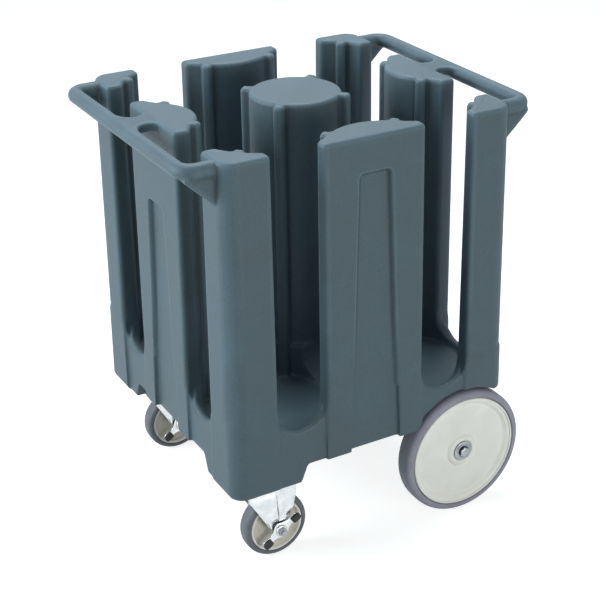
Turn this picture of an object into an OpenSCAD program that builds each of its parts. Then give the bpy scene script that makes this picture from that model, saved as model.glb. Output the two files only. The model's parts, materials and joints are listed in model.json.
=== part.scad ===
// Plate dispenser cart: a moulded polyethylene body with nine upright posts that guide
// four columns of plates, a push handle at each end, two large fixed wheels at the rear
// and two swivel casters with rocker brakes at the front.
// The caster end faces -Y, the wheel axle lies along X, the floor is z = 0. Millimetres.

/* [Body] */
// Height of the post tops above the floor
body_h = 805; // [760:5:880]
// Thickness from the plates' edge out to the side face at the post tops
side_wall = 26; // [22:1:40]
// Thickness from the plates' edge out to the end face at the post tops
end_wall = 30; // [26:1:44]
// How far each side face leans out from the top to the panel's lower edge
side_lean = 8; // [2:1:12]
// How far each end face leans out from the top to the panel's lower edge
end_lean = 4; // [2:1:8]
// Radius of the upright corners
corner_r = 30; // [20:1:36]
// Rounding of the post tops
edge_r = 9; // [5:1:11]
// How far the front legs reach below the side panels
leg_drop = 35; // [20:1:45]
// Depth of the panel below each slot behind the post faces
panel_inset = 6; // [3:1:9]

/* [Plate columns] */
// Diameter inside the guide ribs
plate_d = 212; // [204:1:220]
// Free distance between neighbouring columns across the width
column_gap_x = 76; // [70:1:90]
// Free distance between neighbouring columns along the length
column_gap_y = 86; // [78:1:100]
// Depth of the guide ribs on the wells' walls
rib_depth = 12; // [8:1:15]
// Width of the slots between the posts
slot_w = 97; // [88:1:104]
// Width of a guide rib
rib_w = 20; // [14:1:24]
// Depth of the four ribs on the centre post
centre_rib_depth = 17.2; // [14:0.1:22]
// Depth of the tapered groove in each middle post's outer face
groove_depth = 9; // [4:1:12]

/* [Handles] */
// Diameter of the handle bar
bar_d = 28; // [24:1:34]
// Distance from the end face to the bar's axis
handle_reach = 51; // [44:1:64]
// Distance of the handle arms' outer sides from the side faces
handle_inset = 22; // [16:1:36]
// Height of the webs under the arms, on the post's face
web_drop = 75; // [50:1:95]
// Width of the bridge between the bar and the middle post
bridge_w = 44; // [30:1:60]

/* [Rear wheels] */
// Diameter of the rear wheels over their tyres
wheel_d = 256; // [244:1:266]
// Width of the rear tyres
wheel_w = 42; // [34:1:46]
// Diameter of the rear axle
axle_d = 19; // [16:1:22]
// Distance of the axle in front of the rear face
axle_inset = 86; // [80:1:95]

/* [Front casters] */
// Diameter of the caster wheels
caster_d = 127; // [115:1:132]
// Width of the caster tyres
caster_w = 32; // [26:1:34]
// Height from the top of the caster wheel to the front legs
head_h = 45; // [43:1:52]
// Distance of the swivel axes from the side faces
swivel_inset_x = 59; // [54:1:64]
// Distance of the swivel axes from the front face
swivel_inset_y = 68; // [63:1:73]
// Distance of the wheel's axle behind the swivel axis
trail = 35; // [30:1:40]
// Slope of the brake rocker at rest
rocker_angle = 34; // [24:1:40]

/* [Hidden] */

$fn = 96;
eps = 0.01;
far = 900;
gap = 0.3;              // clearance between pieces that move past each other
fit = 0.08;             // radial running fit
bite = 0.05;            // overlap of rounds and the leaning lines that they meet
corner_bite = 0.2;
joint = 1.5;
rib_drop = 0.5;         // the ribs end this far below the post tops
stub = 15;
ledge = 1;
rib_root = 3;

column_dx = plate_d + column_gap_x;
column_dy = plate_d + column_gap_y;
well_d = plate_d + 2 * rib_depth;
body_w = column_dx + plate_d + 2 * side_wall;
body_l = column_dy + plate_d + 2 * end_wall;
centre_d = sqrt(column_dx * column_dx + column_dy * column_dy) - plate_d - 2 * centre_rib_depth;
handle_w = body_w - 2 * handle_inset;
axle_y = body_l / 2 - axle_inset;
swivel_x = body_w / 2 - swivel_inset_x;
swivel_y = body_l / 2 - swivel_inset_y;

leg_z = caster_d + head_h;
panel_z = leg_z + leg_drop;
axle_z = wheel_d / 2;
arch_gap = 6;
arch_tail_share = 0.87;
arch_r = wheel_d / 2 + arch_gap;
arch_tail_z = axle_z + arch_tail_share * arch_r;
skin = 4;
deck_t = 59;
deck_z = max(panel_z + deck_t, axle_z + arch_r + skin);     // the deck clears the wheel arches
lip_rise = 15;
lip_z = deck_z + lip_rise;
split_rise = 2;
split_z = lip_z + slot_w / 2 + split_rise;
channel_run = 28;
channel_half = 26;

col_x = column_dx / 2;
col_y = column_dy / 2;
plate_r = plate_d / 2;
well_r = well_d / 2;
slot_x = col_x - slot_w / 2;          // inner edge of an end slot
slot_y = col_y - slot_w / 2;          // inner edge of a side slot
side_tilt = atan(side_lean / (body_h - panel_z));
end_tilt = atan(end_lean / (body_h - panel_z));
foot_r = 12;
rib_tip_r = 4;
rib_top_r = 6;

// Middle posts: the round lobe on the inside runs out of the wells' walls under the ribs
rib_reach = well_r * cos(45);
squares = col_x * col_x + col_y * col_y;
lobe_end = rib_w / 4;
side_crest_depth = 71;
end_crest_depth = 80;
side_crest = body_w / 2 - side_crest_depth;
side_root = col_x + rib_reach;
side_half = col_y - rib_reach;
side_lobe_x = (squares - (well_r - side_crest) * (well_r - side_crest)) / (2 * (col_x + well_r - side_crest));
side_lobe_r = side_lobe_x - side_crest;
end_crest = body_l / 2 - end_crest_depth;
end_root = col_y + rib_reach;
end_half = col_x - rib_reach;
end_lobe_y = (squares - (well_r - end_crest) * (well_r - end_crest)) / (2 * (col_y + well_r - end_crest));
end_lobe_r = end_lobe_y - end_crest;
saddle_r = (side_crest - centre_d / 2) / 2;
end_saddle_r = (end_crest - centre_d / 2) / 2;

groove_top_half = 34;
groove_foot_half = 52;
side_groove_drop = 63;
end_groove_drop = 157;
side_groove_z = body_h - side_groove_drop;
end_groove_z = body_h - end_groove_drop;

leg_w = 116;
leg_l = 133;
leg_inner_x = body_w / 2 - leg_w;
leg_inner_y = body_l / 2 - leg_l;
leg_slope = 14;

wheel_proud = 9;
arch_side_gap = 7;
wheel_out = body_w / 2 + wheel_proud;
wheel_in = wheel_out - wheel_w;
wheel_mid = wheel_out - wheel_w / 2;
arch_x = wheel_in - arch_side_gap;
rear_leg_w = 70;
rear_leg_l = 118;

// Upright section across the body: rounded top edges, leaning faces and rounded lower edges.
// The rounds stand proud of the leaning lines by a hair, so that the two cross cleanly.
module lean_profile(half, tilt) {
    drop = body_h - leg_z - foot_r;
    top_r = edge_r - bite;
    low_r = foot_r - bite;
    cx = half - edge_r * (1 - sin(tilt)) / cos(tilt);
    cz = body_h - edge_r;
    fx = half + (sin(tilt) * drop - foot_r) / cos(tilt);
    fz = leg_z + foot_r;
    right = [
        [fx, leg_z], [fx, fz], [fx + low_r * cos(tilt), fz + low_r * sin(tilt)],
        [cx + top_r * cos(tilt), cz + top_r * sin(tilt)], [cx, cz], [cx, body_h]
    ];
    left = [for (i = [len(right) - 1 : -1 : 0]) [-right[i][0], right[i][1]]];
    polygon(concat(right, left));
    for (s = [-1, 1]) {
        translate([s * cx, cz]) circle(r = edge_r);
        translate([s * fx, fz]) circle(r = foot_r);
    }
}

// Round upright corner with the same rounding at its top and foot, hung from the top corner
module corner_column() {
    h = body_h - leg_z;
    rotate_extrude() {
        translate([0, -h]) square([corner_r - foot_r, h]);
        translate([0, foot_r - h]) square([corner_r, h - foot_r - edge_r]);
        translate([0, -edge_r - eps]) square([corner_r - edge_r, edge_r + eps]);
        translate([corner_r - edge_r, -edge_r]) circle(r = edge_r);
        translate([corner_r - foot_r, foot_r - h]) circle(r = foot_r);
    }
}

// Everything between the leaning outer faces, with rounded upright corners
module envelope() {
    reach = 2 * corner_r;
    centre = corner_r - corner_bite;
    difference() {
        intersection() {
            rotate([90, 0, 0]) linear_extrude(height = far, center = true) lean_profile(body_w / 2, side_tilt);
            rotate([90, 0, 90]) linear_extrude(height = far, center = true) lean_profile(body_l / 2, end_tilt);
        }
        for (mx = [0, 1], my = [0, 1]) {
            mirror([mx, 0, 0]) mirror([0, my, 0]) translate([body_w / 2, body_l / 2, body_h])
                rotate([end_tilt, -side_tilt, 0])
                    difference() {
                        translate([-centre, -centre, -far]) cube([reach, reach, 2 * far]);
                        translate([-centre, -centre, 0]) corner_column();
                    }
        }
    }
}

// Plan of a rib that points at a column's middle, seen from there along +X
module rib_plan(length) {
    w = rib_w / 2;
    translate([plate_r + rib_tip_r, -w]) square([length - rib_tip_r, rib_w]);
    translate([plate_r, rib_tip_r - w]) square([length, rib_w - 2 * rib_tip_r]);
    for (s = [-1, 1]) translate([plate_r + rib_tip_r, s * (w - rib_tip_r)]) circle(r = rib_tip_r);
}

// Rib with rounded top edges, a hair below the top of the posts
module rib(length, low) {
    intersection() {
        translate([0, 0, low]) linear_extrude(height = body_h - low) rib_plan(length);
        translate([0, 0, -rib_drop]) rotate([90, 0, 0]) linear_extrude(height = far, center = true)
            translate([plate_r, 0]) round_top(far, low, rib_top_r);
        translate([0, 0, -rib_drop]) rotate([90, 0, 90]) linear_extrude(height = far)
            translate([-rib_w / 2, 0]) round_top(rib_w, low, rib_top_r);
    }
}

// Upright rectangle from x = 0 with rounded top corners at the height of the posts
module round_top(width, low, r) {
    translate([0, low]) square([width, body_h - low - r]);
    translate([r, low]) square([width - 2 * r, body_h - low]);
    for (x = [r, width - r]) translate([x, body_h - r]) circle(r = r);
}

// Plans of the posts in the +X +Y quarter, before the leaning faces trim them
module corner_plan() {
    difference() {
        translate([col_x, col_y]) square([far, far]);
        translate([col_x, col_y]) circle(r = well_r);
    }
}

module side_plan() {
    depth = side_root - side_crest + 2 * joint;
    difference() {
        translate([side_root - joint, -col_y]) square([far, 2 * col_y]);
        for (s = [-1, 1]) translate([col_x, s * col_y]) circle(r = well_r);
    }
    intersection() {
        translate([side_crest - joint, lobe_end - side_half]) square([depth, 2 * (side_half - lobe_end)]);
        translate([side_lobe_x, 0]) circle(r = side_lobe_r);
    }
}

module end_plan() {
    depth = end_root - end_crest + 2 * joint;
    difference() {
        translate([-col_x, end_root - joint]) square([2 * col_x, far]);
        for (s = [-1, 1]) translate([s * col_x, col_y]) circle(r = well_r);
    }
    intersection() {
        translate([lobe_end - end_half, end_crest - joint]) square([2 * (end_half - lobe_end), depth]);
        translate([0, end_lobe_y]) circle(r = end_lobe_r);
    }
}

// Ribs round one column: 45 points at the corner post, 315 and 135 at the middle posts, 225 inwards
module column_rib(qx, qy, angle, low) {
    length = 2 * (angle == 225 ? centre_rib_depth : rib_depth);
    scale_x = qx < 0 ? 1 : 0;
    scale_y = qy < 0 ? 1 : 0;
    mirror([scale_x, 0, 0]) mirror([0, scale_y, 0]) translate([col_x, col_y, 0])
        rotate([0, 0, angle]) rib(length, low);
}

// The pieces of a post start at different depths below the split, and this trims them to it
module above_split() {
    difference() {
        children();
        translate([-far, -far, split_z - far]) cube([2 * far, 2 * far, far]);
    }
}

module corner_post(qx, qy) {
    color("#5b707c")
    above_split() intersection() {
        envelope();
        union() {
            mirror([qx < 0 ? 1 : 0, 0, 0]) mirror([0, qy < 0 ? 1 : 0, 0])
                intersection() {
                    translate([0, 0, split_z - stub]) linear_extrude(height = far) corner_plan();
                    rotate([90, 0, 0]) linear_extrude(height = far * 2, center = true)
                        translate([col_x + slot_w / 2, 0]) round_top(far, split_z - far / 4, edge_r);
                    rotate([90, 0, 90]) linear_extrude(height = far * 2, center = true)
                        translate([col_y + slot_w / 2, 0]) round_top(far, split_z - far / 4, edge_r);
                }
            column_rib(qx, qy, 45, split_z - 2 * stub);
        }
    }
}

module side_post(qx) {
    color("#5b707c")
    above_split() difference() {
        intersection() {
            envelope();
            union() {
                intersection() {
                    mirror([qx < 0 ? 1 : 0, 0, 0]) translate([0, 0, split_z - stub])
                        linear_extrude(height = far) side_plan();
                    rotate([90, 0, 90]) linear_extrude(height = far * 2, center = true)
                        translate([-slot_y, 0]) round_top(2 * slot_y, split_z - far / 4, edge_r);
                }
                for (qy = [-1, 1]) column_rib(qx, qy, 315, split_z - 2 * stub);
            }
        }
        side_groove(qx);
    }
}

module end_post(qy) {
    color("#5b707c")
    above_split() difference() {
        intersection() {
            envelope();
            union() {
                intersection() {
                    mirror([0, qy < 0 ? 1 : 0, 0]) translate([0, 0, split_z - stub])
                        linear_extrude(height = far) end_plan();
                    rotate([90, 0, 0]) linear_extrude(height = far * 2, center = true)
                        translate([-slot_x, 0]) round_top(2 * slot_x, split_z - far / 4, edge_r);
                }
                for (qx = [-1, 1]) column_rib(qx, qy, 135, split_z - 2 * stub);
            }
        }
        end_groove(qy);
    }
}

module centre_post() {
    low = split_z - stub;
    h = body_h - low;
    r = centre_d / 2;
    color("#5b707c")
    above_split() union() {
        translate([0, 0, low]) rotate_extrude() {
            square([r, h - edge_r]);
            square([r - edge_r, h]);
            translate([r - edge_r, h - edge_r]) circle(r = edge_r);
        }
        for (qx = [-1, 1], qy = [-1, 1]) column_rib(qx, qy, 225, low - stub);
    }
}

// Tapered groove in an outer face, open at the panel's lower edge, widening downwards
module groove_cut(top_z, half, tilt) {
    drop = body_h - leg_z + far / 10;
    fall = body_h - top_z;
    inner = groove_top_half - edge_r;
    spread = (groove_foot_half - groove_top_half) * (drop - fall) / (top_z - panel_z);
    translate([half - groove_depth, 0, body_h]) rotate([0, -tilt, 0]) rotate([90, 0, 90])
        linear_extrude(height = far / 10) polygon(concat(
            [[-groove_top_half - spread, -drop], [groove_top_half + spread, -drop]],
            [for (a = [0 : 15 : 90]) [inner + edge_r * cos(a), edge_r * sin(a) - fall - edge_r]],
            [for (a = [90 : 15 : 180]) [edge_r * cos(a) - inner, edge_r * sin(a) - fall - edge_r]]
        ));
}

module side_groove(qx) {
    mirror([qx < 0 ? 1 : 0, 0, 0]) groove_cut(side_groove_z, body_w / 2, side_tilt);
}

module end_groove(qy) {
    rotate([0, 0, 90 * qy]) groove_cut(end_groove_z, body_l / 2, end_tilt);
}

// Round-bottomed channel through a slot: it slopes in from the lip to the well
module slot_channel(half) {
    tilt = atan(lip_rise / channel_run);
    translate([half, 0, lip_z + slot_w / 2]) rotate([0, -tilt, 0]) {
        rotate([0, 90, 0]) cylinder(d = slot_w, h = 2 * channel_half, center = true);
        translate([-channel_half, -slot_w / 2, 0]) cube([2 * channel_half, slot_w, far]);
    }
}

module side_slots() {
    for (mx = [0, 1], s = [-1, 1])
        mirror([mx, 0, 0]) translate([0, s * col_y, 0]) slot_channel(body_w / 2 + side_lean);
}

module end_slots() {
    for (a = [90, -90], s = [-1, 1])
        rotate([0, 0, a]) translate([0, s * col_x, 0]) slot_channel(body_l / 2 + end_lean);
}

// Rounded saddles between neighbouring wells, beside the centre post
module saddles() {
    for (s = [-1, 1]) {
        translate([s * (side_crest - saddle_r), 0, split_z]) rotate([90, 0, 0])
            cylinder(r = saddle_r, h = column_dy - plate_d, center = true);
        translate([0, s * (end_crest - end_saddle_r), split_z]) rotate([0, 90, 0])
            cylinder(r = end_saddle_r, h = column_dx - plate_d, center = true);
    }
}

// Panels below the slots stand back from the post faces, which lean further out
module panel_insets() {
    reach = far / 4;
    width = slot_w - 2 * ledge;
    for (s = [-1, 1], t = [-1, 1]) {
        translate([s * (body_w / 2 + side_lean - panel_inset + reach), t * col_y, leg_z + body_h / 4])
            cube([2 * reach, width, body_h / 2], center = true);
        translate([t * col_x, s * (body_l / 2 + end_lean - panel_inset + reach), leg_z + body_h / 4])
            cube([width, 2 * reach, body_h / 2], center = true);
    }
}

// Front leg: sloping inner sides down from the panels to the caster's seat
module front_leg() {
    intersection() {
        rotate([90, 0, 0]) linear_extrude(height = far)
            polygon([
                [leg_inner_x - leg_slope, deck_z - eps], [leg_inner_x - leg_slope, panel_z],
                [leg_inner_x, leg_z], [far, leg_z], [far, deck_z - eps]
            ]);
        rotate([90, 0, 90]) linear_extrude(height = far)
            polygon([
                [-far, deck_z - eps], [-far, leg_z], [-leg_inner_y, leg_z],
                [leg_slope - leg_inner_y, panel_z], [leg_slope - leg_inner_y, deck_z - eps]
            ]);
    }
}

// Rear leg inboard of each wheel, down to the axle bracket
module rear_leg() {
    translate([arch_x - rear_leg_w, axle_y - rear_leg_l / 2, leg_z])
        cube([rear_leg_w, rear_leg_l, deck_z - leg_z - eps]);
}

// Well over a rear wheel, open to the side and to the rear
module wheel_arch() {
    translate([arch_x, axle_y, axle_z]) rotate([0, 90, 0]) cylinder(r = arch_r, h = far / 4);
    translate([arch_x, axle_y, 0]) cube([far / 4, far / 2, arch_tail_z]);
}

module column_wells() {
    for (qx = [-1, 1], qy = [-1, 1]) translate([qx * col_x, qy * col_y, deck_z]) cylinder(r = well_r, h = far);
}

module well_ribs() {
    h = split_z - deck_z + eps;
    for (qx = [0, 1], qy = [0, 1], a = [45, 135, 225, 315])
        mirror([qx, 0, 0]) mirror([0, qy, 0]) translate([col_x, col_y, deck_z - eps]) rotate([0, 0, a])
            linear_extrude(height = h) rib_plan(rib_depth + rib_root);
}

// Lower body: the deck with four wells, the lips of the slots, the panels and the legs
module body_base() {
    color("#5b707c")
    difference() {
        intersection() {
            envelope();
            union() {
                difference() {
                    translate([-far / 2, -far / 2, panel_z]) cube([far, far, split_z - panel_z]);
                    column_wells();
                    saddles();
                    side_slots();
                    end_slots();
                }
                well_ribs();
                for (mx = [0, 1]) mirror([mx, 0, 0]) {
                    front_leg();
                    rear_leg();
                }
            }
        }
        panel_insets();
        for (mx = [0, 1]) mirror([mx, 0, 0]) wheel_arch();
        for (s = [-1, 1]) {
            side_groove(s);
            end_groove(s);
        }
    }
}

// Handle: bar, rounded elbows, arms, webs under the arms and the bridge to the middle post
bar_r = bar_d / 2;
bar_drop = 1;
bar_z = body_h - bar_r - bar_drop;
elbow_r = 24;
arm_x = handle_w / 2 - bar_r;
bridge_t = 18;
bridge_r = 22;
web_t = 18;
web_past = 2;

module handle_bar() {
    bar_y = body_l / 2 + handle_reach;
    translate([0, bar_y, bar_z]) rotate([0, 90, 0]) cylinder(r = bar_r, h = 2 * (arm_x - elbow_r), center = true);
    for (s = [-1, 1]) {
        translate([s * (arm_x - elbow_r), bar_y - elbow_r, bar_z]) rotate([0, 0, s > 0 ? 0 : 90])
            rotate_extrude(angle = 90) translate([elbow_r, 0]) circle(r = bar_r);
        translate([s * arm_x, body_l / 2 - edge_r, bar_z]) rotate([-90, 0, 0])
            cylinder(r = bar_r, h = handle_reach - elbow_r + edge_r);
    }
}

module handle_web() {
    low = body_h - web_drop;
    reach = handle_reach + web_past;
    translate([arm_x - web_t / 2, body_l / 2 - edge_r, 0]) rotate([90, 0, 90]) linear_extrude(height = web_t)
        polygon([
            [0, low - edge_r], [edge_r + end_lean, low], [reach + edge_r, bar_z - bar_r],
            [reach + edge_r, bar_z - bar_r / 2], [reach + edge_r - elbow_r / 2, bar_z], [0, bar_z]
        ]);
}

module handle_bridge() {
    reach = handle_reach + edge_r;
    flare = bridge_w / 2 + bridge_r;
    translate([0, body_l / 2 - edge_r, bar_z + bar_r - bridge_t]) linear_extrude(height = bridge_t)
        difference() {
            translate([-flare, 0]) square([2 * flare, reach]);
            for (s = [-1, 1]) translate([s * flare, handle_reach / 2 - bar_r / 2 + edge_r]) {
                circle(r = bridge_r);
                translate([s > 0 ? 0 : -far, -bridge_r]) square([far, 2 * bridge_r]);
            }
        }
}

module handle(qy) {
    color("#5b707c")
    mirror([0, qy < 0 ? 1 : 0, 0])
        difference() {
            union() {
                handle_bar();
                handle_bridge();
                for (mx = [0, 1]) mirror([mx, 0, 0]) handle_web();
            }
            envelope();
        }
}

// Rear axle with its brackets, spacers and end bolts
bracket_t = 4;
bracket_w = 34;
bracket_l = 96;
bracket_x = arch_x - rear_leg_w / 2;
cheek_r = 20;
cheek_flare = 8;
screw_d = 8;
screw_hole_gap = 1;
screw_edge = 12;
screw_head_d = 15;
screw_head_h = 6;
bracket_screw_y = bracket_l / 2 - screw_edge;
bush_wall = 4;
hub_bore = axle_d + 2 * bush_wall;
spacer_wall = 5;
bolt_d = 12;
end_shank = 22;
end_hole = 26;
end_washer_d = 40;
end_washer_t = 2;
end_head_d = 21;
end_head_h = 6;

module axle_rod() {
    half = wheel_mid + hub_end;
    color("#b9bdc0")
    translate([0, axle_y, axle_z]) rotate([0, 90, 0]) difference() {
        cylinder(d = axle_d, h = 2 * half, center = true);
        for (s = [-1, 1]) translate([0, 0, s * half]) cylinder(d = bolt_d, h = 2 * end_hole, center = true);
    }
}

module axle_bracket(side) {
    plate_y = bracket_l / 2;
    color("#9ea3a7")
    translate([side * bracket_x, axle_y, 0]) difference() {
        union() {
            translate([-bracket_w / 2, -plate_y, leg_z - bracket_t]) cube([bracket_w, bracket_l, bracket_t]);
            for (s = [-1, 1]) translate([s * (bracket_w - bracket_t) / 2, 0, 0]) rotate([90, 0, 90])
                linear_extrude(height = bracket_t, center = true) {
                    translate([0, axle_z]) circle(r = cheek_r);
                    polygon([
                        [-cheek_r, axle_z], [cheek_r, axle_z],
                        [cheek_r + cheek_flare, leg_z - bracket_t / 2], [-cheek_r - cheek_flare, leg_z - bracket_t / 2]
                    ]);
                }
        }
        translate([0, 0, axle_z]) rotate([0, 90, 0]) cylinder(d = axle_d + 2 * fit, h = 2 * bracket_w, center = true);
        for (s = [-1, 1]) translate([0, s * bracket_screw_y, leg_z])
            cylinder(d = screw_d + screw_hole_gap, h = 3 * bracket_t, center = true);
    }
}

module bracket_screws() {
    color("#8d9296")
    for (side = [-1, 1], s = [-1, 1])
        translate([side * bracket_x, axle_y + s * bracket_screw_y, 0]) {
            translate([0, 0, leg_z - bracket_t]) mirror([0, 0, 1]) cylinder(d = screw_head_d, h = screw_head_h, $fn = 6);
            translate([0, 0, leg_z - bracket_t - eps]) cylinder(d = screw_d, h = bracket_t + eps);
        }
}

module spacers() {
    inner = bracket_x + bracket_w / 2;
    outer = wheel_mid - hub_end;
    color("#8d9296")
    for (side = [-1, 1]) translate([side * (inner + outer) / 2, axle_y, axle_z]) rotate([0, 90, 0])
        difference() {
            cylinder(d = axle_d + 2 * spacer_wall, h = outer - inner, center = true);
            cylinder(d = axle_d + 2 * fit, h = far / 4, center = true);
        }
}

module end_bolts() {
    color("#c4c8cb")
    for (mx = [0, 1]) mirror([mx, 0, 0]) translate([wheel_mid + hub_end, axle_y, axle_z]) rotate([0, 90, 0]) {
        cylinder(d = end_washer_d, h = end_washer_t);
        translate([0, 0, end_washer_t]) cylinder(d = end_head_d, h = end_head_h, $fn = 6);
        translate([0, 0, -end_shank]) cylinder(d = bolt_d, h = end_shank + eps);
    }
}

// Rear wheel, seen from the cart's side: a grey tyre on a white moulded disc
tyre_r = wheel_d / 2;
tyre_t = 15;
tyre_crown = 9;
bead_r = 5;
rim_r = wheel_d / 2 - tyre_t;
hub_inset = 7;
hub_out = wheel_w / 2 - hub_inset;
flange_t = 2;
flange_w = 4;
bush_l = 16;
hub_end = hub_out + flange_t + gap;
hub_r = 34;
hub_slope = 6;
dish = 7;
rim_inset = 1;
rim_step = 1.5;
lip_w = 3;
lip_slope = 1;
band_w = 9;
band_slope = 5;

module rear_tyre() {
    crown = tyre_crown;
    w = wheel_w / 2;
    inner = rim_r + fit;
    color("#77737c")
    rotate([0, 90, 0]) rotate_extrude($fn = 120) difference() {
        union() {
            translate([inner, crown - w]) square([tyre_r - inner, wheel_w - 2 * crown]);
            translate([inner, -w]) square([tyre_r - inner - crown, wheel_w]);
            for (s = [-1, 1]) translate([tyre_r - crown, s * (w - crown)]) circle(r = crown, $fn = 48);
        }
        translate([0, -wheel_w]) square([inner, 2 * wheel_w]);
        translate([rim_r, 0]) circle(r = bead_r + fit, $fn = 32);
    }
}

module rear_rim() {
    w = wheel_w / 2 - rim_inset;
    face = w - rim_step;
    edge = rim_r - lip_w;
    lip = edge - lip_slope;
    band = rim_r - band_w;
    floor_r = band - band_slope;
    color("#e6e6df")
    rotate([0, 90, 0]) difference() {
        rotate_extrude($fn = 120) difference() {
            union() {
                polygon([
                    [0, -hub_out], [hub_r, -hub_out], [hub_r + hub_slope, dish - w], [floor_r, dish - w],
                    [band, -face], [lip, -face], [edge, -w], [rim_r, -w],
                    [rim_r, w], [edge, w], [lip, face], [band, face],
                    [floor_r, w - dish], [hub_r + hub_slope, w - dish], [hub_r, hub_out], [0, hub_out]
                ]);
                translate([rim_r, 0]) circle(r = bead_r, $fn = 32);
            }
            square([hub_bore, 2 * wheel_w], center = true);
        }
    }
}

module hub_bushes() {
    color("#3d4145")
    for (s = [0, 1]) mirror([s, 0, 0]) rotate([0, 90, 0]) difference() {
        union() {
            translate([0, 0, hub_out - bush_l]) cylinder(d = hub_bore, h = bush_l);
            translate([0, 0, hub_out]) cylinder(d = hub_bore + 2 * flange_w, h = flange_t);
        }
        cylinder(d = axle_d + 2 * fit, h = far / 4, center = true);
    }
}

module at_rear_wheel(side) {
    mirror([side < 0 ? 1 : 0, 0, 0]) translate([wheel_mid, axle_y, axle_z]) children();
}

// Front caster, built round its swivel axis; both casters are the same part
plate_t = 4;
plate_l = 92;
plate_screw = 34;
crown_t = 4;
ball_d = 8;
ball_ring_r = 27;
ball_count = 14;
race_z = leg_z - plate_t;
ball_seat = 0.5;
ball_z = race_z - ball_d / 2 - ball_seat;
race_edge = 9;
race_h = 4;
crown_drop = 12;
crown_z = race_z - crown_drop;
crown_edge = 11;
plate_round = 10;
plate_hole_d = 9;
plate_screw_d = 8;
plate_head_d = 13;
plate_head_h = 5;
king_d = 12;
king_past = 2;
king_nut_d = 22;
king_nut_h = 6;
king_washer_d = 26;
king_washer_t = 1;
king_nut_z = crown_z - crown_t - gap - king_washer_t - king_nut_h;
fork_t = 4;
fork_gap = 4;
fork_in = caster_w / 2 + fork_gap;
fork_out = fork_in + fork_t;
fork_eye_r = 12;
fork_eye_angle = 25;
fork_eye_rise = 4;
fork_front = 27;
fork_front_low = 25;
fork_front_drop = 14;
fork_waist = 30;
fork_waist_rise = 38;
fork_back = 34;
fork_back_low = 37;
fork_back_drop = 20;
press_r = 5;
press_y = 6;
press_out = 1;
press_rise = 20;
wheel_bolt_d = 10;
wheel_head_d = 17;
wheel_head_h = 6;
wheel_nut_h = 7;
bolt_reach = 14;
sleeve_d = 16;
wheel_z = caster_d / 2;
caster_tyre_t = 11;
caster_crown = 8;
caster_bead_r = 4;
caster_rim_r = caster_d / 2 - caster_tyre_t;
core_edge = 1;
core_dish = 8;
core_hub_r = 14;
core_hub_slope = 3;
core_hub_gap = 1;
core_lip = 3;
core_lip_slope = 2;
rocker_gap = 6;
rocker_in = fork_out + rocker_gap;
rocker_boss = 2;
rocker_boss_r = 11;
rocker_eye_r = 14;
rocker_root = 12;
rocker_waist = 16;
rocker_w = 15;
tab_in = 2;
tab_out = 8;
tab_t = 3;
pad_t = 7;
pad_h = 10;
pad_edge = 2.5;

module at_caster(side) {
    translate([side * swivel_x, -swivel_y, 0]) children();
}

module at_wheel() {
    translate([0, trail, wheel_z]) children();
}

// Top plate with round corners, screw holes and a pressed race for the balls
module caster_plate() {
    r = plate_round;
    s = plate_l / 2 - r;
    color("#b4b8bb")
    difference() {
        union() {
            translate([0, 0, race_z]) linear_extrude(height = plate_t) {
                square([plate_l, 2 * s], center = true);
                square([2 * s, plate_l], center = true);
                for (a = [-1, 1], b = [-1, 1]) translate([a * s, b * s]) circle(r = r);
            }
            translate([0, 0, race_z - race_h]) cylinder(r = ball_ring_r + race_edge, h = race_h + eps);
        }
        translate([0, 0, ball_z]) rotate_extrude() translate([ball_ring_r, 0]) circle(d = ball_d + 2 * fit);
        cylinder(d = king_d, h = far);
        for (a = [-1, 1], b = [-1, 1]) translate([a * plate_screw, b * plate_screw, race_z - plate_t])
            cylinder(d = plate_hole_d, h = 3 * plate_t);
    }
}

module plate_screws() {
    color("#8d9296")
    for (a = [-1, 1], b = [-1, 1]) translate([a * plate_screw, b * plate_screw, 0]) {
        translate([0, 0, race_z]) mirror([0, 0, 1]) cylinder(d = plate_head_d, h = plate_head_h, $fn = 6);
        translate([0, 0, race_z - eps]) cylinder(d = plate_screw_d, h = plate_t + eps);
    }
}

module king_bolt() {
    color("#a5a9ac")
    translate([0, 0, king_nut_z - king_past]) cylinder(d = king_d, h = leg_z - king_nut_z + king_past);
}

module king_nut() {
    color("#8d9296")
    translate([0, 0, king_nut_z]) difference() {
        union() {
            cylinder(d = king_nut_d, h = king_nut_h, $fn = 6);
            translate([0, 0, king_nut_h - eps]) cylinder(d = king_washer_d, h = king_washer_t + eps);
        }
        translate([0, 0, -king_past]) cylinder(d = king_d, h = king_nut_h + king_washer_t + 2 * king_past);
    }
}

module swivel_balls() {
    color("#c9cccf")
    for (i = [0 : ball_count - 1]) rotate([0, 0, i * 360 / ball_count])
        translate([ball_ring_r, 0, ball_z]) sphere(d = ball_d, $fn = 24);
}

// Side view of a fork leg: a wide top that narrows to the wheel bolt
module fork_side() {
    r = fork_eye_r;
    low = wheel_z - r * sin(fork_eye_angle);
    side = r * cos(fork_eye_angle);
    translate([trail, wheel_z]) circle(r = r);
    polygon([
        [-fork_front, crown_z], [-fork_front_low, crown_z - fork_front_drop],
        [trail - side, low], [trail + side, low],
        [trail + r, wheel_z + fork_eye_rise], [trail + fork_waist, wheel_z + fork_waist_rise],
        [trail + fork_back_low, crown_z - fork_back_drop], [trail + fork_back, crown_z]
    ]);
}

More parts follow.
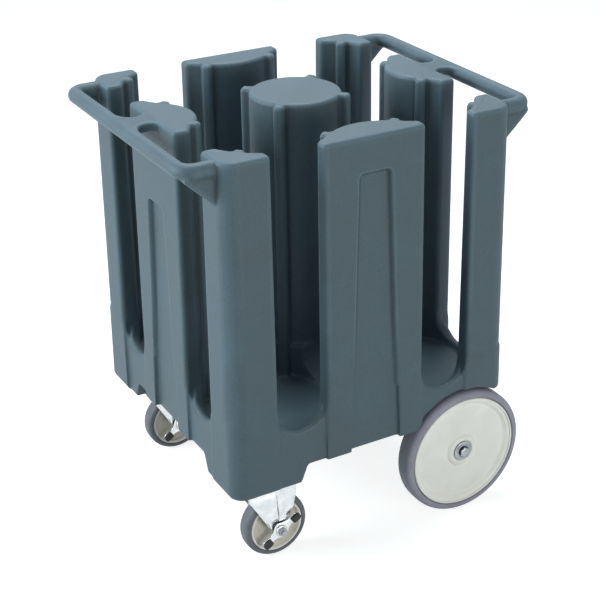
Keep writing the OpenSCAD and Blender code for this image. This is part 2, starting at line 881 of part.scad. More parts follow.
module caster_fork() {
    press_z = wheel_z + press_rise;
    color("#cdd1d4")
    difference() {
        union() {
            translate([0, 0, crown_z - crown_t]) cylinder(r = ball_ring_r + crown_edge, h = crown_t);
            translate([-fork_out, -fork_front, crown_z - crown_t])
                cube([2 * fork_out, fork_front + trail + fork_back, crown_t]);
            translate([0, 0, crown_z - eps]) cylinder(r = ball_ring_r + race_edge, h = race_h);
            for (s = [-1, 1]) translate([s * (fork_in + fork_t / 2), 0, 0]) rotate([90, 0, 90])
                linear_extrude(height = fork_t, center = true) fork_side();
            // pressed rib down the middle of each leg
            for (s = [-1, 1]) intersection() {
                translate([s * fork_out, trail - press_y, 0]) cylinder(r = press_r, h = crown_z - crown_t);
                translate([s * (fork_out + press_out), trail - press_y, (press_z + crown_z) / 2])
                    cube([press_r, 2 * press_y, crown_z - crown_t - press_z], center = true);
            }
        }
        translate([0, 0, ball_z]) rotate_extrude() translate([ball_ring_r, 0]) circle(d = ball_d + 2 * gap);
        cylinder(d = king_d + 2 * fit, h = far);
        at_wheel() rotate([0, 90, 0]) cylinder(d = wheel_bolt_d + 2 * fit, h = far, center = true);
    }
}

module wheel_bolt() {
    color("#a5a9ac")
    at_wheel() rotate([0, 90, 0]) {
        translate([0, 0, -fork_out - wheel_head_h]) cylinder(d = wheel_head_d, h = wheel_head_h, $fn = 6);
        translate([0, 0, -fork_out - eps]) cylinder(d = wheel_bolt_d, h = fork_out + rocker_in + bolt_reach);
    }
}

module wheel_nut() {
    color("#8d9296")
    at_wheel() translate([rocker_in + rocker_t + rocker_boss + gap, 0, 0]) rotate([0, 90, 0]) difference() {
        cylinder(d = wheel_head_d, h = wheel_nut_h, $fn = 6);
        cylinder(d = wheel_bolt_d, h = 4 * wheel_nut_h, center = true);
    }
}

module caster_tyre() {
    crown = caster_crown;
    w = caster_w / 2;
    inner = caster_rim_r + fit;
    color("#66636b")
    at_wheel() rotate([0, 90, 0]) rotate_extrude() difference() {
        union() {
            translate([inner, crown - w]) square([wheel_z - inner, caster_w - 2 * crown]);
            translate([inner, -w]) square([wheel_z - inner - crown, caster_w]);
            for (s = [-1, 1]) translate([wheel_z - crown, s * (w - crown)]) circle(r = crown, $fn = 48);
        }
        translate([0, -caster_w]) square([inner, 2 * caster_w]);
        translate([caster_rim_r, 0]) circle(r = caster_bead_r + fit, $fn = 32);
    }
}

module caster_core() {
    w = caster_w / 2 - core_edge;
    web = caster_w / 2 - core_dish;
    hub = fork_in - core_hub_gap;
    slope = core_hub_r + core_hub_slope;
    edge = caster_rim_r - core_lip;
    floor_r = edge - core_lip_slope;
    color("#c8bcab")
    at_wheel() rotate([0, 90, 0]) rotate_extrude() difference() {
        union() {
            polygon([
                [0, -hub], [core_hub_r, -hub], [slope, -web], [floor_r, -web], [edge, -w], [caster_rim_r, -w],
                [caster_rim_r, w], [edge, w], [floor_r, web], [slope, web], [core_hub_r, hub], [0, hub]
            ]);
            translate([caster_rim_r, 0]) circle(r = caster_bead_r, $fn = 32);
        }
        square([sleeve_d + 2 * fit, 2 * caster_w], center = true);
    }
}

module caster_sleeve() {
    color("#9a9da0")
    at_wheel() rotate([0, 90, 0]) difference() {
        cylinder(d = sleeve_d, h = 2 * fork_in, center = true);
        cylinder(d = wheel_bolt_d + 2 * fit, h = far / 4, center = true);
    }
}

// Two-ended brake rocker on the outer end of the wheel bolt, with a pad at each end
rocker_half = 37;
rocker_t = 3;
pad_l = 17;

module at_rocker() {
    at_wheel() rotate([rocker_angle, 0, 0]) children();
}

module brake_rocker() {
    color("#d3d6d8")
    at_rocker() difference() {
        union() {
            translate([fork_out + gap, 0, 0]) rotate([0, 90, 0])
                cylinder(r = rocker_boss_r, h = rocker_in + rocker_t + rocker_boss - fork_out - gap);
            translate([rocker_in + rocker_t / 2, 0, 0]) rotate([90, 0, 90]) linear_extrude(height = rocker_t, center = true) {
                circle(r = rocker_eye_r);
                for (s = [-1, 1]) {
                    polygon([
                        [0, -rocker_root], [s * rocker_waist, -rocker_w / 2], [s * rocker_half, -rocker_w / 2],
                        [s * rocker_half, rocker_w / 2], [s * rocker_waist, rocker_w / 2], [0, rocker_root]
                    ]);
                    translate([s * rocker_half, 0]) circle(r = rocker_w / 2);
                }
            }
            // turned-out step at each end carries the pad
            for (s = [-1, 1]) translate([rocker_in + tab_out / 2, s * (rocker_half - tab_in), 0])
                cube([tab_out + eps, pad_l - 2 * pad_edge, tab_t], center = true);
        }
        rotate([0, 90, 0]) cylinder(d = wheel_bolt_d + 2 * fit, h = far, center = true);
    }
}

module brake_pads() {
    pocket = tab_out - rocker_t + fit;
    color("#26282a")
    at_rocker() for (s = [-1, 1]) translate([rocker_in + rocker_t, s * (rocker_half - tab_in), 0]) difference() {
        translate([pad_t / 2, 0, 0]) cube([pad_t, pad_l, pad_h], center = true);
        translate([pocket / 2, 0, 0]) cube([pocket, pad_l - 2 * pad_edge + 2 * fit, tab_t + 2 * fit], center = true);
    }
}

body_base();
centre_post();
corner_post(-1, -1);  // front_left_post
end_post(-1);  // front_middle_post
corner_post(1, -1);  // front_right_post
side_post(-1);  // left_middle_post
side_post(1);  // right_middle_post
corner_post(-1, 1);  // rear_left_post
end_post(1);  // rear_middle_post
corner_post(1, 1);  // rear_right_post
handle(-1);  // front_handle
handle(1);  // rear_handle
axle_rod();  // rear_axle
axle_bracket(-1);  // left_axle_bracket
axle_bracket(1);  // right_axle_bracket
bracket_screws();  // axle_bracket_screws
spacers();  // axle_spacers
end_bolts();  // axle_end_bolts
at_rear_wheel(-1) rear_tyre();  // left_rear_tyre
at_rear_wheel(-1) rear_rim();  // left_rear_rim
at_rear_wheel(-1) hub_bushes();  // left_hub_bushes
at_rear_wheel(1) rear_tyre();  // right_rear_tyre
at_rear_wheel(1) rear_rim();  // right_rear_rim
at_rear_wheel(1) hub_bushes();  // right_hub_bushes
at_caster(-1) caster_plate();  // left_caster_plate
at_caster(-1) plate_screws();  // left_plate_screws
at_caster(-1) king_bolt();  // left_king_bolt
at_caster(-1) king_nut();  // left_king_nut
at_caster(-1) swivel_balls();  // left_swivel_balls
at_caster(-1) caster_fork();  // left_caster_fork
at_caster(-1) wheel_bolt();  // left_wheel_bolt
at_caster(-1) wheel_nut();  // left_wheel_nut
at_caster(-1) caster_tyre();  // left_caster_tyre
at_caster(-1) caster_core();  // left_caster_core
at_caster(-1) caster_sleeve();  // left_caster_sleeve
at_caster(-1) brake_rocker();  // left_brake_rocker
at_caster(-1) brake_pads();  // left_brake_pads
at_caster(1) caster_plate();  // right_caster_plate
at_caster(1) plate_screws();  // right_plate_screws
at_caster(1) king_bolt();  // right_king_bolt
at_caster(1) king_nut();  // right_king_nut
at_caster(1) swivel_balls();  // right_swivel_balls
at_caster(1) caster_fork();  // right_caster_fork
at_caster(1) wheel_bolt();  // right_wheel_bolt
at_caster(1) wheel_nut();  // right_wheel_nut
at_caster(1) caster_tyre();  // right_caster_tyre
at_caster(1) caster_core();  // right_caster_core
at_caster(1) caster_sleeve();  // right_caster_sleeve
at_caster(1) brake_rocker();  // right_brake_rocker
at_caster(1) brake_pads();  // right_brake_pads
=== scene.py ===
# Plate dispenser cart: a moulded polyethylene body whose nine posts guide four columns of
# plates, a push handle at each end, two large rear wheels and two braked swivel casters.
# The caster end faces -Y. The shapes below are worked out in millimetres.
import json

import bmesh
import bpy
import numpy as np
from mathutils import Matrix

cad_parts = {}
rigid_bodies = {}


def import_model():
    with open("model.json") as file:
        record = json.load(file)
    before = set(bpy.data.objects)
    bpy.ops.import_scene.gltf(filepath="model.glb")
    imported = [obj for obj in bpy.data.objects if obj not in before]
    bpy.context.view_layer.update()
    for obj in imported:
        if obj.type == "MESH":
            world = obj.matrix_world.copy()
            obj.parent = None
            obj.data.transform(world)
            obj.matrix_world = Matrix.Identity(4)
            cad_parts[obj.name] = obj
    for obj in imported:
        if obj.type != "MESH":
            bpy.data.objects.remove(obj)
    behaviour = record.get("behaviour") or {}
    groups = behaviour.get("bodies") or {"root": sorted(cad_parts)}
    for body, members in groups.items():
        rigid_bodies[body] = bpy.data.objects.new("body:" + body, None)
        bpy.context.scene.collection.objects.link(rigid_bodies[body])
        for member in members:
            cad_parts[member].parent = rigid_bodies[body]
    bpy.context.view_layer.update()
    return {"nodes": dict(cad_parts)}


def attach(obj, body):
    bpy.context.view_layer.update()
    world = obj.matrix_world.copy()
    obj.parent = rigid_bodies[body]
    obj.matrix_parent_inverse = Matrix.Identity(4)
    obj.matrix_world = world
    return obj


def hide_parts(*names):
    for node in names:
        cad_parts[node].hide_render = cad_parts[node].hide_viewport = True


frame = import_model()
nodes = frame["nodes"]
print("frame loaded with", len(nodes), "nodes")

millimetre = 0.001   # in the frame's metres


def newObject(name, data):
    made = bpy.data.objects.new(name, data)
    bpy.context.scene.collection.objects.link(made)
    return made


# Camera, fitted to the photograph's own corners and wheel outlines
camera = {
    "azimuth": 60.03,        # degrees round from the caster end towards the near side
    "elevation": 25.36,
    "roll": -0.5,
    "distance": 2.7594,
    "target": (0.0235, 0.0431, 0.4322),
    "focalPixels": 1439.9,
    "centrePixels": (24.0, -24.0),
    "imagePixels": 600,      # width of the image that both are counted in
    "sensor": 36.0,          # millimetres
    "farClip": 60.0,
}


def placeCamera(c):
    azimuth, elevation, roll = np.radians([c["azimuth"], c["elevation"], c["roll"]])
    flat = np.cos(elevation)
    back = np.array([np.sin(azimuth) * flat, -np.cos(azimuth) * flat, np.sin(elevation)])
    level = np.array([np.cos(azimuth), np.sin(azimuth), 0.0])
    rise = np.cross(level, -back)
    right = level * np.cos(roll) + rise * np.sin(roll)
    up = rise * np.cos(roll) - level * np.sin(roll)
    place = np.eye(4)
    place[:3, 0], place[:3, 1], place[:3, 2] = right, up, back
    place[:3, 3] = np.array(c["target"]) + back * c["distance"]
    lens = bpy.data.cameras.new("studioCamera")
    lens.sensor_width = c["sensor"]
    lens.lens = c["focalPixels"] / c["imagePixels"] * c["sensor"]
    lens.shift_x = -c["centrePixels"][0] / c["imagePixels"]
    lens.shift_y = c["centrePixels"][1] / c["imagePixels"]
    lens.clip_end = c["farClip"]
    holder = newObject("studioCamera", lens)
    holder.matrix_world = Matrix(place.tolist())
    bpy.context.scene.camera = holder


placeCamera(camera)
bpy.context.scene.view_settings.view_transform = "Standard"
print("camera placed")


def linear(text):
    # sRGB hex to linear light, with alpha 1
    s = np.array([int(text[i:i + 2], 16) for i in (1, 3, 5)]) / 255
    value = np.where(s <= 0.04045, s / 12.92, ((s + 0.055) / 1.055) ** 2.4)
    return (*value.tolist(), 1.0)


def addNode(tree, kind, settings=None, links=None, stops=()):
    # settings name a socket or a property, links name a socket and give the output that
    # feeds it, and stops are the places and colours of a ramp
    made = tree.nodes.new(kind)
    for name, value in (settings or {}).items():
        if isinstance(name, str) and hasattr(made, name):
            setattr(made, name, value)
        else:
            made.inputs[name].default_value = value
    for name, source in (links or {}).items():
        tree.links.new(source, made.inputs[name])
    for k, (position, colour) in enumerate(stops):
        made.color_ramp.elements[k].position = position
        made.color_ramp.elements[k].color = linear(colour)
    return made


def newMaterial(name):
    material = bpy.data.materials.new(name)
    material.use_nodes = True
    material.node_tree.nodes.clear()
    return material, material.node_tree


def scaleFor(size):
    # a texture's scale, from the size of its pattern in millimetres
    return 1 / (size * millimetre)


bodyLook = {
    "dark": "#43545d", "light": "#4b5e68",
    "drift": 111.1,                       # millimetres: slow patches of tone
    "fleck": 2.381,                       # specks of the grain
    "pebble": 3.03,                       # grain, about 1 mm on the real mould
    "wave": 38.46,                        # unevenness of the wall
    "sheen": (0.5, 0.62),                 # roughness, from the shiny to the dull patches
    "crease": -0.42, "edge": 0.46,        # share of the tone taken off in a crease as painted shade and added on an edge as painted highlight
    "paintedLightFrom": 0.36, "paintedLightFull": 0.46,   # heights in metres between which the painted edge highlight and crease shade set in
}


def mouldedPolyethylene(name, look):
    # Rotationally moulded polyethylene out of a pebbled mould: a soft broad sheen, grain that
    # breaks up the highlight, slow drifts of tone, and above the base a painted highlight along
    # the edges and painted shade in the creases. The grain is drawn coarser so that it shows.
    material, tree = newMaterial(name)
    place = addNode(tree, "ShaderNodeTexCoord").outputs["Object"]
    drift = addNode(
        tree, "ShaderNodeTexNoise", {"Scale": scaleFor(look["drift"]), "Detail": 4.0, "Roughness": 0.55},
        {"Vector": place})
    tone = addNode(tree, "ShaderNodeValToRGB", links={0: drift.outputs[0]},
                   stops=((0.35, look["dark"]), (0.68, look["light"])))
    fleck = addNode(
        tree, "ShaderNodeTexNoise", {"Scale": scaleFor(look["fleck"]), "Detail": 2.0, "Roughness": 0.6},
        {"Vector": place})
    speck = addNode(
        tree, "ShaderNodeMapRange", {"From Min": 0.3, "From Max": 0.72, "To Min": 0.84, "To Max": 1.16},
        {"Value": fleck.outputs[0]})
    # painted shade in the creases and painted highlight on the edges, from the mesh's pointiness, above the base only
    bend = addNode(tree, "ShaderNodeNewGeometry").outputs["Pointiness"]
    paintedShadeAndHighlight = addNode(
        tree, "ShaderNodeMapRange",
        {"From Min": 0.48, "From Max": 0.52, "To Min": look["crease"], "To Max": look["edge"]}, {"Value": bend})
    height = addNode(tree, "ShaderNodeSeparateXYZ", links={0: place}).outputs["Z"]
    paintedLightReach = addNode(
        tree, "ShaderNodeMapRange", {"From Min": look["paintedLightFrom"], "From Max": look["paintedLightFull"]}, {"Value": height})
    factor = addNode(tree, "ShaderNodeMath", {"operation": "MULTIPLY_ADD"},
                     {0: paintedShadeAndHighlight.outputs[0], 1: paintedLightReach.outputs[0], 2: speck.outputs[0]})
    mixed = addNode(tree, "ShaderNodeVectorMath", {"operation": "MULTIPLY"},
                    {0: tone.outputs["Color"], 1: factor.outputs[0]})
    grain = addNode(
        tree, "ShaderNodeTexVoronoi",
        {"feature": "SMOOTH_F1", "Scale": scaleFor(look["pebble"]), "Smoothness": 0.6}, {"Vector": place})
    ripple = addNode(tree, "ShaderNodeTexNoise", {"Scale": scaleFor(look["wave"]), "Detail": 2.0}, {"Vector": place})
    pebble = addNode(tree, "ShaderNodeBump", {"Strength": 0.45, "Distance": 0.0006}, {"Height": grain.outputs[0]})
    wave = addNode(tree, "ShaderNodeBump", {"Strength": 0.25, "Distance": 0.0012},
                   {"Height": ripple.outputs[0], "Normal": pebble.outputs[0]})
    low, high = look["sheen"]
    gloss = addNode(tree, "ShaderNodeMapRange", {"From Min": 0.3, "From Max": 0.7, "To Min": low, "To Max": high},
                    {"Value": drift.outputs[0]})
    shader = addNode(tree, "ShaderNodeBsdfPrincipled", {"IOR": 1.51, "Specular IOR Level": 0.42},
                     {"Base Color": mixed.outputs[0], "Roughness": gloss.outputs[0], "Normal": wave.outputs[0]})
    addNode(tree, "ShaderNodeOutputMaterial", links={"Surface": shader.outputs["BSDF"]})
    return material


# dust: patches on the tread, in millimetres
rearTyreLook = {"dark": "#918f9d", "light": "#a4a2af", "roughness": 0.62, "dust": 71.43}
casterTyreLook = {"dark": "#63646b", "light": "#74767c", "roughness": 0.58, "dust": 33.33}
padLook = {"dark": "#1d1e20", "light": "#2b2c2f", "roughness": 0.55, "dust": 16.67}


def mouldedRubber(name, look):
    # Moulded non-marking rubber: nearly matt, dusty on the worn parts of the tread, with a
    # fine grit of about 0.5 mm drawn at 1.7 mm so that it shows
    material, tree = newMaterial(name)
    place = addNode(tree, "ShaderNodeTexCoord").outputs["Object"]
    dust = addNode(
        tree, "ShaderNodeTexNoise", {"Scale": scaleFor(look["dust"]), "Detail": 5.0, "Roughness": 0.62},
        {"Vector": place})
    tone = addNode(tree, "ShaderNodeValToRGB", links={0: dust.outputs[0]},
                   stops=((0.34, look["dark"]), (0.7, look["light"])))
    grit = addNode(tree, "ShaderNodeTexNoise", {"Scale": scaleFor(1.6667), "Detail": 2.0}, {"Vector": place})
    bump = addNode(tree, "ShaderNodeBump", {"Strength": 0.2, "Distance": 0.0004}, {"Height": grit.outputs[0]})
    shader = addNode(
        tree, "ShaderNodeBsdfPrincipled", {"Roughness": look["roughness"], "IOR": 1.52, "Specular IOR Level": 0.35},
        {"Base Color": tone.outputs["Color"], "Normal": bump.outputs[0]})
    addNode(tree, "ShaderNodeOutputMaterial", links={"Surface": shader.outputs["BSDF"]})
    return material


discLook = {"dark": "#f4f1ea", "light": "#faf8f3", "roughness": 0.36}
coreLook = {"dark": "#cbc2b6", "light": "#dad4ca", "roughness": 0.42}
bushLook = {"dark": "#2b2d31", "light": "#383b40", "roughness": 0.5}


def mouldedPolypropylene(name, look):
    # Injection moulded polypropylene: smooth, slightly waxy, faintly yellowed in clouds of
    # about 56 mm, with a skin that waves every 6 mm
    material, tree = newMaterial(name)
    place = addNode(tree, "ShaderNodeTexCoord").outputs["Object"]
    cloud = addNode(tree, "ShaderNodeTexNoise", {"Scale": scaleFor(55.56), "Detail": 3.0, "Roughness": 0.5},
                    {"Vector": place})
    tone = addNode(tree, "ShaderNodeValToRGB", links={0: cloud.outputs[0]},
                   stops=((0.35, look["dark"]), (0.66, look["light"])))
    skin = addNode(tree, "ShaderNodeTexNoise", {"Scale": scaleFor(6.25), "Detail": 2.0}, {"Vector": place})
    bump = addNode(tree, "ShaderNodeBump", {"Strength": 0.12, "Distance": 0.0004}, {"Height": skin.outputs[0]})
    shader = addNode(tree, "ShaderNodeBsdfPrincipled", {"Roughness": look["roughness"], "IOR": 1.49},
                     {"Base Color": tone.outputs["Color"], "Normal": bump.outputs[0]})
    addNode(tree, "ShaderNodeOutputMaterial", links={"Surface": shader.outputs["BSDF"]})
    return material


# sheen: roughness from the bright to the dull patches. marks: spacing in millimetres
pressingLook = {"dark": "#cfd3d6", "light": "#e6e8ea", "sheen": (0.12, 0.22), "marks": 2.0}
hardwareLook = {"dark": "#8b9094", "light": "#a7abaf", "sheen": (0.2, 0.34), "marks": 1.4286}


def zincPlate(name, look):
    # Bright zinc plate over pressed steel: a cool mirror-like skin broken by fine rolling
    # marks (real spacing about 0.2 mm, drawn coarser so that they show) and dull patches of
    # 22 mm, with painted shade darkening its corners and hollows
    material, tree = newMaterial(name)
    place = addNode(tree, "ShaderNodeTexCoord").outputs["Object"]
    patch = addNode(tree, "ShaderNodeTexNoise", {"Scale": scaleFor(22.222), "Detail": 4.0, "Roughness": 0.6},
                    {"Vector": place})
    tone = addNode(tree, "ShaderNodeValToRGB", links={0: patch.outputs[0]},
                   stops=((0.35, look["dark"]), (0.65, look["light"])))
    low, high = look["sheen"]
    gloss = addNode(tree, "ShaderNodeMapRange", {"From Min": 0.3, "From Max": 0.7, "To Min": low, "To Max": high},
                    {"Value": patch.outputs[0]})
    # painted shade: the colour darkens in the corners and hollows that the part's own surfaces close in
    corner = addNode(tree, "ShaderNodeAmbientOcclusion", {"only_local": True, "samples": 8, "Distance": 0.007})
    paintedCornerShade = addNode(
        tree, "ShaderNodeMapRange", {"From Min": 0.55, "From Max": 0.95, "To Min": 0.12, "To Max": 1.0},
        {"Value": corner.outputs["AO"]})
    paintedShadeTone = addNode(tree, "ShaderNodeVectorMath", {"operation": "MULTIPLY"},
                    {0: tone.outputs["Color"], 1: paintedCornerShade.outputs[0]})
    stretch = addNode(tree, "ShaderNodeMapping", {"Scale": (1.0, 1.0, 0.12)}, {"Vector": place})
    marks = addNode(tree, "ShaderNodeTexNoise", {"Scale": scaleFor(look["marks"]), "Detail": 2.0},
                    {"Vector": stretch.outputs[0]})
    bump = addNode(tree, "ShaderNodeBump", {"Strength": 0.1, "Distance": 0.0003}, {"Height": marks.outputs[0]})
    shader = addNode(tree, "ShaderNodeBsdfPrincipled", {"Metallic": 1.0},
                     {"Base Color": paintedShadeTone.outputs[0], "Roughness": gloss.outputs[0], "Normal": bump.outputs[0]})
    addNode(tree, "ShaderNodeOutputMaterial", links={"Surface": shader.outputs["BSDF"]})
    return material


bodyPlastic = mouldedPolyethylene("mouldedPolyethylene", bodyLook)
rearTyreRubber = mouldedRubber("greyTyreRubber", rearTyreLook)
casterTyreRubber = mouldedRubber("darkCasterRubber", casterTyreLook)
padRubber = mouldedRubber("brakePadRubber", padLook)
discPlastic = mouldedPolypropylene("ivoryDiscPolypropylene", discLook)
corePlastic = mouldedPolypropylene("beigeCasterCore", coreLook)
bushPlastic = mouldedPolypropylene("darkNylonBush", bushLook)
pressingZinc = zincPlate("zincPlatedPressing", pressingLook)
hardwareZinc = zincPlate("zincPlatedHardware", hardwareLook)

# by the ends of the nodes' names; all others are of plated hardware
finishes = {
    "rear_tyre": rearTyreRubber, "rear_rim": discPlastic, "hub_bushes": bushPlastic,
    "caster_tyre": casterTyreRubber, "caster_core": corePlastic, "brake_pads": padRubber,
    "caster_fork": pressingZinc, "caster_plate": pressingZinc, "brake_rocker": pressingZinc,
    "base": bodyPlastic, "post": bodyPlastic, "handle": bodyPlastic,
}
for name, piece in nodes.items():
    chosen = next((m for ending, m in finishes.items() if name.endswith(ending)), hardwareZinc)
    piece.data.materials.clear()
    piece.data.materials.append(chosen)
print("materials made")


def gridQuads(rows, columns, closed):
    # quads between neighbouring rings, wrapped round when the rings are closed
    r, c = np.meshgrid(np.arange(rows - 1), np.arange(columns if closed else columns - 1), indexing="ij")
    n = (c + 1) % columns
    below, above = r * columns, (r + 1) * columns
    return np.stack([below + c, below + n, above + n, above + c], -1).reshape(-1, 4)


def faceLists(faces):
    return faces.tolist() if isinstance(faces, np.ndarray) else faces


def addPiece(name, part, material, body, replaced):
    points, faces = part
    mesh = bpy.data.meshes.new(name)
    mesh.from_pydata((np.asarray(points) * millimetre).tolist(), [], faceLists(faces))
    mesh.polygons.foreach_set("use_smooth", np.ones(len(mesh.polygons), bool))
    mesh.materials.append(material)
    mesh.validate()
    mesh.update()
    piece = newObject(name, mesh)
    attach(piece, body)
    if replaced:
        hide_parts(*replaced)


def closedTube(rings):
    # rings of points, one after another, with a face across each end
    rows, columns = rings.shape[:2]
    faces = gridQuads(rows, columns, True).tolist()
    faces.append(list(range(columns))[::-1])
    faces.append([(rows - 1) * columns + i for i in range(columns)])
    return rings.reshape(-1, 3), faces


def joined(*parts):
    points, faces, start = [], [], 0
    for p, f in parts:
        points.append(np.asarray(p))
        faces += [[i + start for i in face] for face in faceLists(f)]
        start += len(p)
    return np.concatenate(points), faces


def share(value, low, high):
    # 0 up to low and 1 from high on, with a straight line between them
    return np.clip((value - low) / (high - low), 0, 1)


def smoothStep(value, low, high):
    # the same with t^2 (3 - 2t) between them
    t = share(value, low, high)
    return t * t * (3 - 2 * t)


# Posts of the body
posts = {
    "height": 805.0, "halfWidth": 276.0, "halfLength": 285.0, "cornerRadius": 30.0,
    "column": (144.0, 149.0), "wellRadius": 118.0, "ribTip": 106.0, "ribHalf": 10.0, "slotHalf": 48.5,
    "centreRadius": 84.0, "sideLean": 8.0, "endLean": 4.0, "leanHeight": 598.0,
    "sideBand": (250.0, 274.0), "endBand": (257.0, 283.0),   # the lean grows from 0 to full there
    "topRadius": 7.5, "edgeReach": 9.5, "innerReach": 7.0, "ribRootReach": 6.0, "ribTipReach": 8.0,
    "crest": 205.0, "sideGrooveDrop": 63.0, "endGrooveDrop": 157.0,
    "grooveDepth": 9.0, "grooveTop": 34.0, "grooveFoot": 52.0, "grooveCorner": 12.0, "grooveStep": 8.0,
    "grooveBand": (-3.0, -1.0),   # from the outer face, where the groove fades in
    "proud": 0.15, "foot": 318.0,   # the outer faces stand this far out of the base's
    "step": 1.6, "rowStep": 9.0, "fineStep": 1.1, "fineBelow": 18.0, "fineAbove": 4.0,   # of the mesh
}


def line(a, b, count=40):
    t = np.linspace(0, 1, count)[:-1, None]
    return np.array(a) * (1 - t) + np.array(b) * t


def arc(centre, radius, start, end, count=60):
    # points at `radius` from the centre, from one angle in degrees to the other
    t = np.radians(np.linspace(start, end, count)[:-1])
    return np.stack([centre[0] + radius * np.cos(t), centre[1] + radius * np.sin(t)], -1)


def roundedOutline(runs, corners, step):
    # The closed path is sampled evenly by length. Within `reach` of a corner it becomes
    # (1-t)^2 a + 2t(1-t) corner + t^2 b, where a and b lie at that distance on either side.
    path = np.vstack(runs)
    pieces = np.linalg.norm(np.roll(path, -1, 0) - path, axis=1)
    length = np.concatenate([[0], np.cumsum(pieces)[:-1]])
    total = pieces.sum()
    count = int(total / step)
    along = np.arange(count) * total / count

    def at(q):
        return np.stack([np.interp(q, length, path[:, k], period=total) for k in (0, 1)], -1)

    points = at(along)
    for x, y, reach in corners:
        home = length[np.argmin(np.hypot(path[:, 0] - x, path[:, 1] - y))]
        away = (along - home + total / 2) % total - total / 2
        inside = np.abs(away) < reach
        t = ((away[inside] + reach) / (2 * reach))[:, None]
        before, after = at(home - reach), at(home + reach)
        points[inside] = (1 - t) ** 2 * before + 2 * t * (1 - t) * np.array([x, y]) + t ** 2 * after
    area = np.sum(points[:, 0] * np.roll(points[:, 1], -1) - points[:, 1] * np.roll(points[:, 0], -1))
    return points if area > 0 else points[::-1]


def insetRing(points, depth):
    # Each point moves inwards along its normal. Where the ring would cross itself, a point
    # comes nearer to the outline than `depth`, less 1.5 % and 0.03 mm, and is drawn between
    # its good neighbours.
    if depth < 1e-6:
        return points
    tangent = np.roll(points, -1, 0) - np.roll(points, 1, 0)
    tangent /= np.linalg.norm(tangent, axis=1)[:, None]
    moved = points + depth * np.stack([-tangent[:, 1], tangent[:, 0]], -1)
    nearest = np.linalg.norm(moved[:, None] - points[None], axis=2).min(1)
    good = np.flatnonzero(nearest > 0.985 * depth - 0.03)
    index = np.arange(len(points))
    return np.stack([np.interp(index, good, moved[good, k], period=len(points)) for k in (0, 1)], -1)


def ribEnds(centre, angle, p):
    # the two corners of a rib's tip, and the rib's direction away from the column's middle
    a = np.radians(angle)
    outward, across = np.array([np.cos(a), np.sin(a)]), np.array([-np.sin(a), np.cos(a)])
    tip = np.array(centre) + outward * p["ribTip"]
    return tip + across * p["ribHalf"], tip - across * p["ribHalf"], outward


def meetCircle(start, direction, centre, radius):
    # nearest point ahead where start + k direction lies on the circle
    gap = start - np.array(centre)
    b = gap @ direction
    root = np.sqrt(b * b - gap @ gap + radius * radius)
    k = min((v for v in (-b - root, -b + root) if v > 0), default=-b + root)
    return start + direction * k


def angleOf(point, centre):
    return np.degrees(np.arctan2(point[1] - centre[1], point[0] - centre[0]))


def cornerOutline(p):
    # +X +Y corner: outer faces, slot faces, the well's arc and the rib at 45 degrees
    c, w, r = p["column"], p["wellRadius"], p["cornerRadius"]
    x, y = p["halfWidth"], p["halfLength"]
    sx, sy = c[0] + p["slotHalf"], c[1] + p["slotHalf"]
    reach = np.sqrt(w * w - p["slotHalf"] ** 2)
    a, b, d = ribEnds(c, 45, p)
    rootA, rootB = meetCircle(a, d, c, w), meetCircle(b, d, c, w)
    runs = [
        line((x, sy), (x, y - r)), arc((x - r, y - r), r, 0, 90), line((x - r, y), (sx, y)),
        line((sx, y), (sx, c[1] + reach)), arc(c, w, angleOf((sx, c[1] + reach), c), angleOf(rootA, c)),
        line(rootA, a), line(a, b), line(b, rootB),
        arc(c, w, angleOf(rootB, c), angleOf((c[0] + reach, sy), c)), line((c[0] + reach, sy), (x, sy)),
    ]
    corners = [
        (x, sy, p["edgeReach"]), (sx, y, p["edgeReach"]),
        (sx, c[1] + reach, p["innerReach"]), (c[0] + reach, sy, p["innerReach"]),
        (*rootA, p["ribRootReach"]), (*rootB, p["ribRootReach"]),
        (*a, p["ribTipReach"]), (*b, p["ribTipReach"]),
    ]
    return roundedOutline(runs, corners, p["step"])


def middleOutline(p, half, column, slotEdge):
    # Middle post in (outwards, across): outer face, slot faces, two well arcs with a rib each
    # and the round lobe between them, whose circle touches both wells
    w, crest = p["wellRadius"], p["crest"]
    lobe = (column[0] ** 2 + column[1] ** 2 - (w - crest) ** 2) / (2 * (column[0] + w - crest))
    reach = np.sqrt(w * w - p["slotHalf"] ** 2)
    a, b, d = ribEnds(column, -45, p)
    rootA, rootB = meetCircle(a, d, column, w), meetCircle(b, d, (lobe, 0), lobe - crest)
    edge = np.array([column[0] + reach, slotEdge])
    turn = angleOf(rootB, (lobe, 0)) % 360
    flip = np.array([1, -1])
    runs = [
        line((half, -slotEdge), (half, slotEdge)), line((half, slotEdge), edge),
        arc(column, w, angleOf(edge, column), angleOf(rootA, column)),
        line(rootA, a), line(a, b), line(b, rootB), arc((lobe, 0), lobe - crest, turn, 360 - turn),
        line(rootB * flip, b * flip), line(b * flip, a * flip), line(a * flip, rootA * flip),
        arc((column[0], -column[1]), w, -angleOf(rootA, column), -angleOf(edge, column)),
        line(edge * flip, (half, -slotEdge)),
    ]
    corners = []
    for s in (1, -1):
        corners += [
            (half, s * slotEdge, p["edgeReach"]), (edge[0], s * edge[1], p["innerReach"]),
            (rootA[0], s * rootA[1], p["ribRootReach"]), (rootB[0], s * rootB[1], p["ribRootReach"]),
            (a[0], s * a[1], p["ribTipReach"]), (b[0], s * b[1], p["ribTipReach"]),
        ]
    return roundedOutline(runs, corners, p["step"])


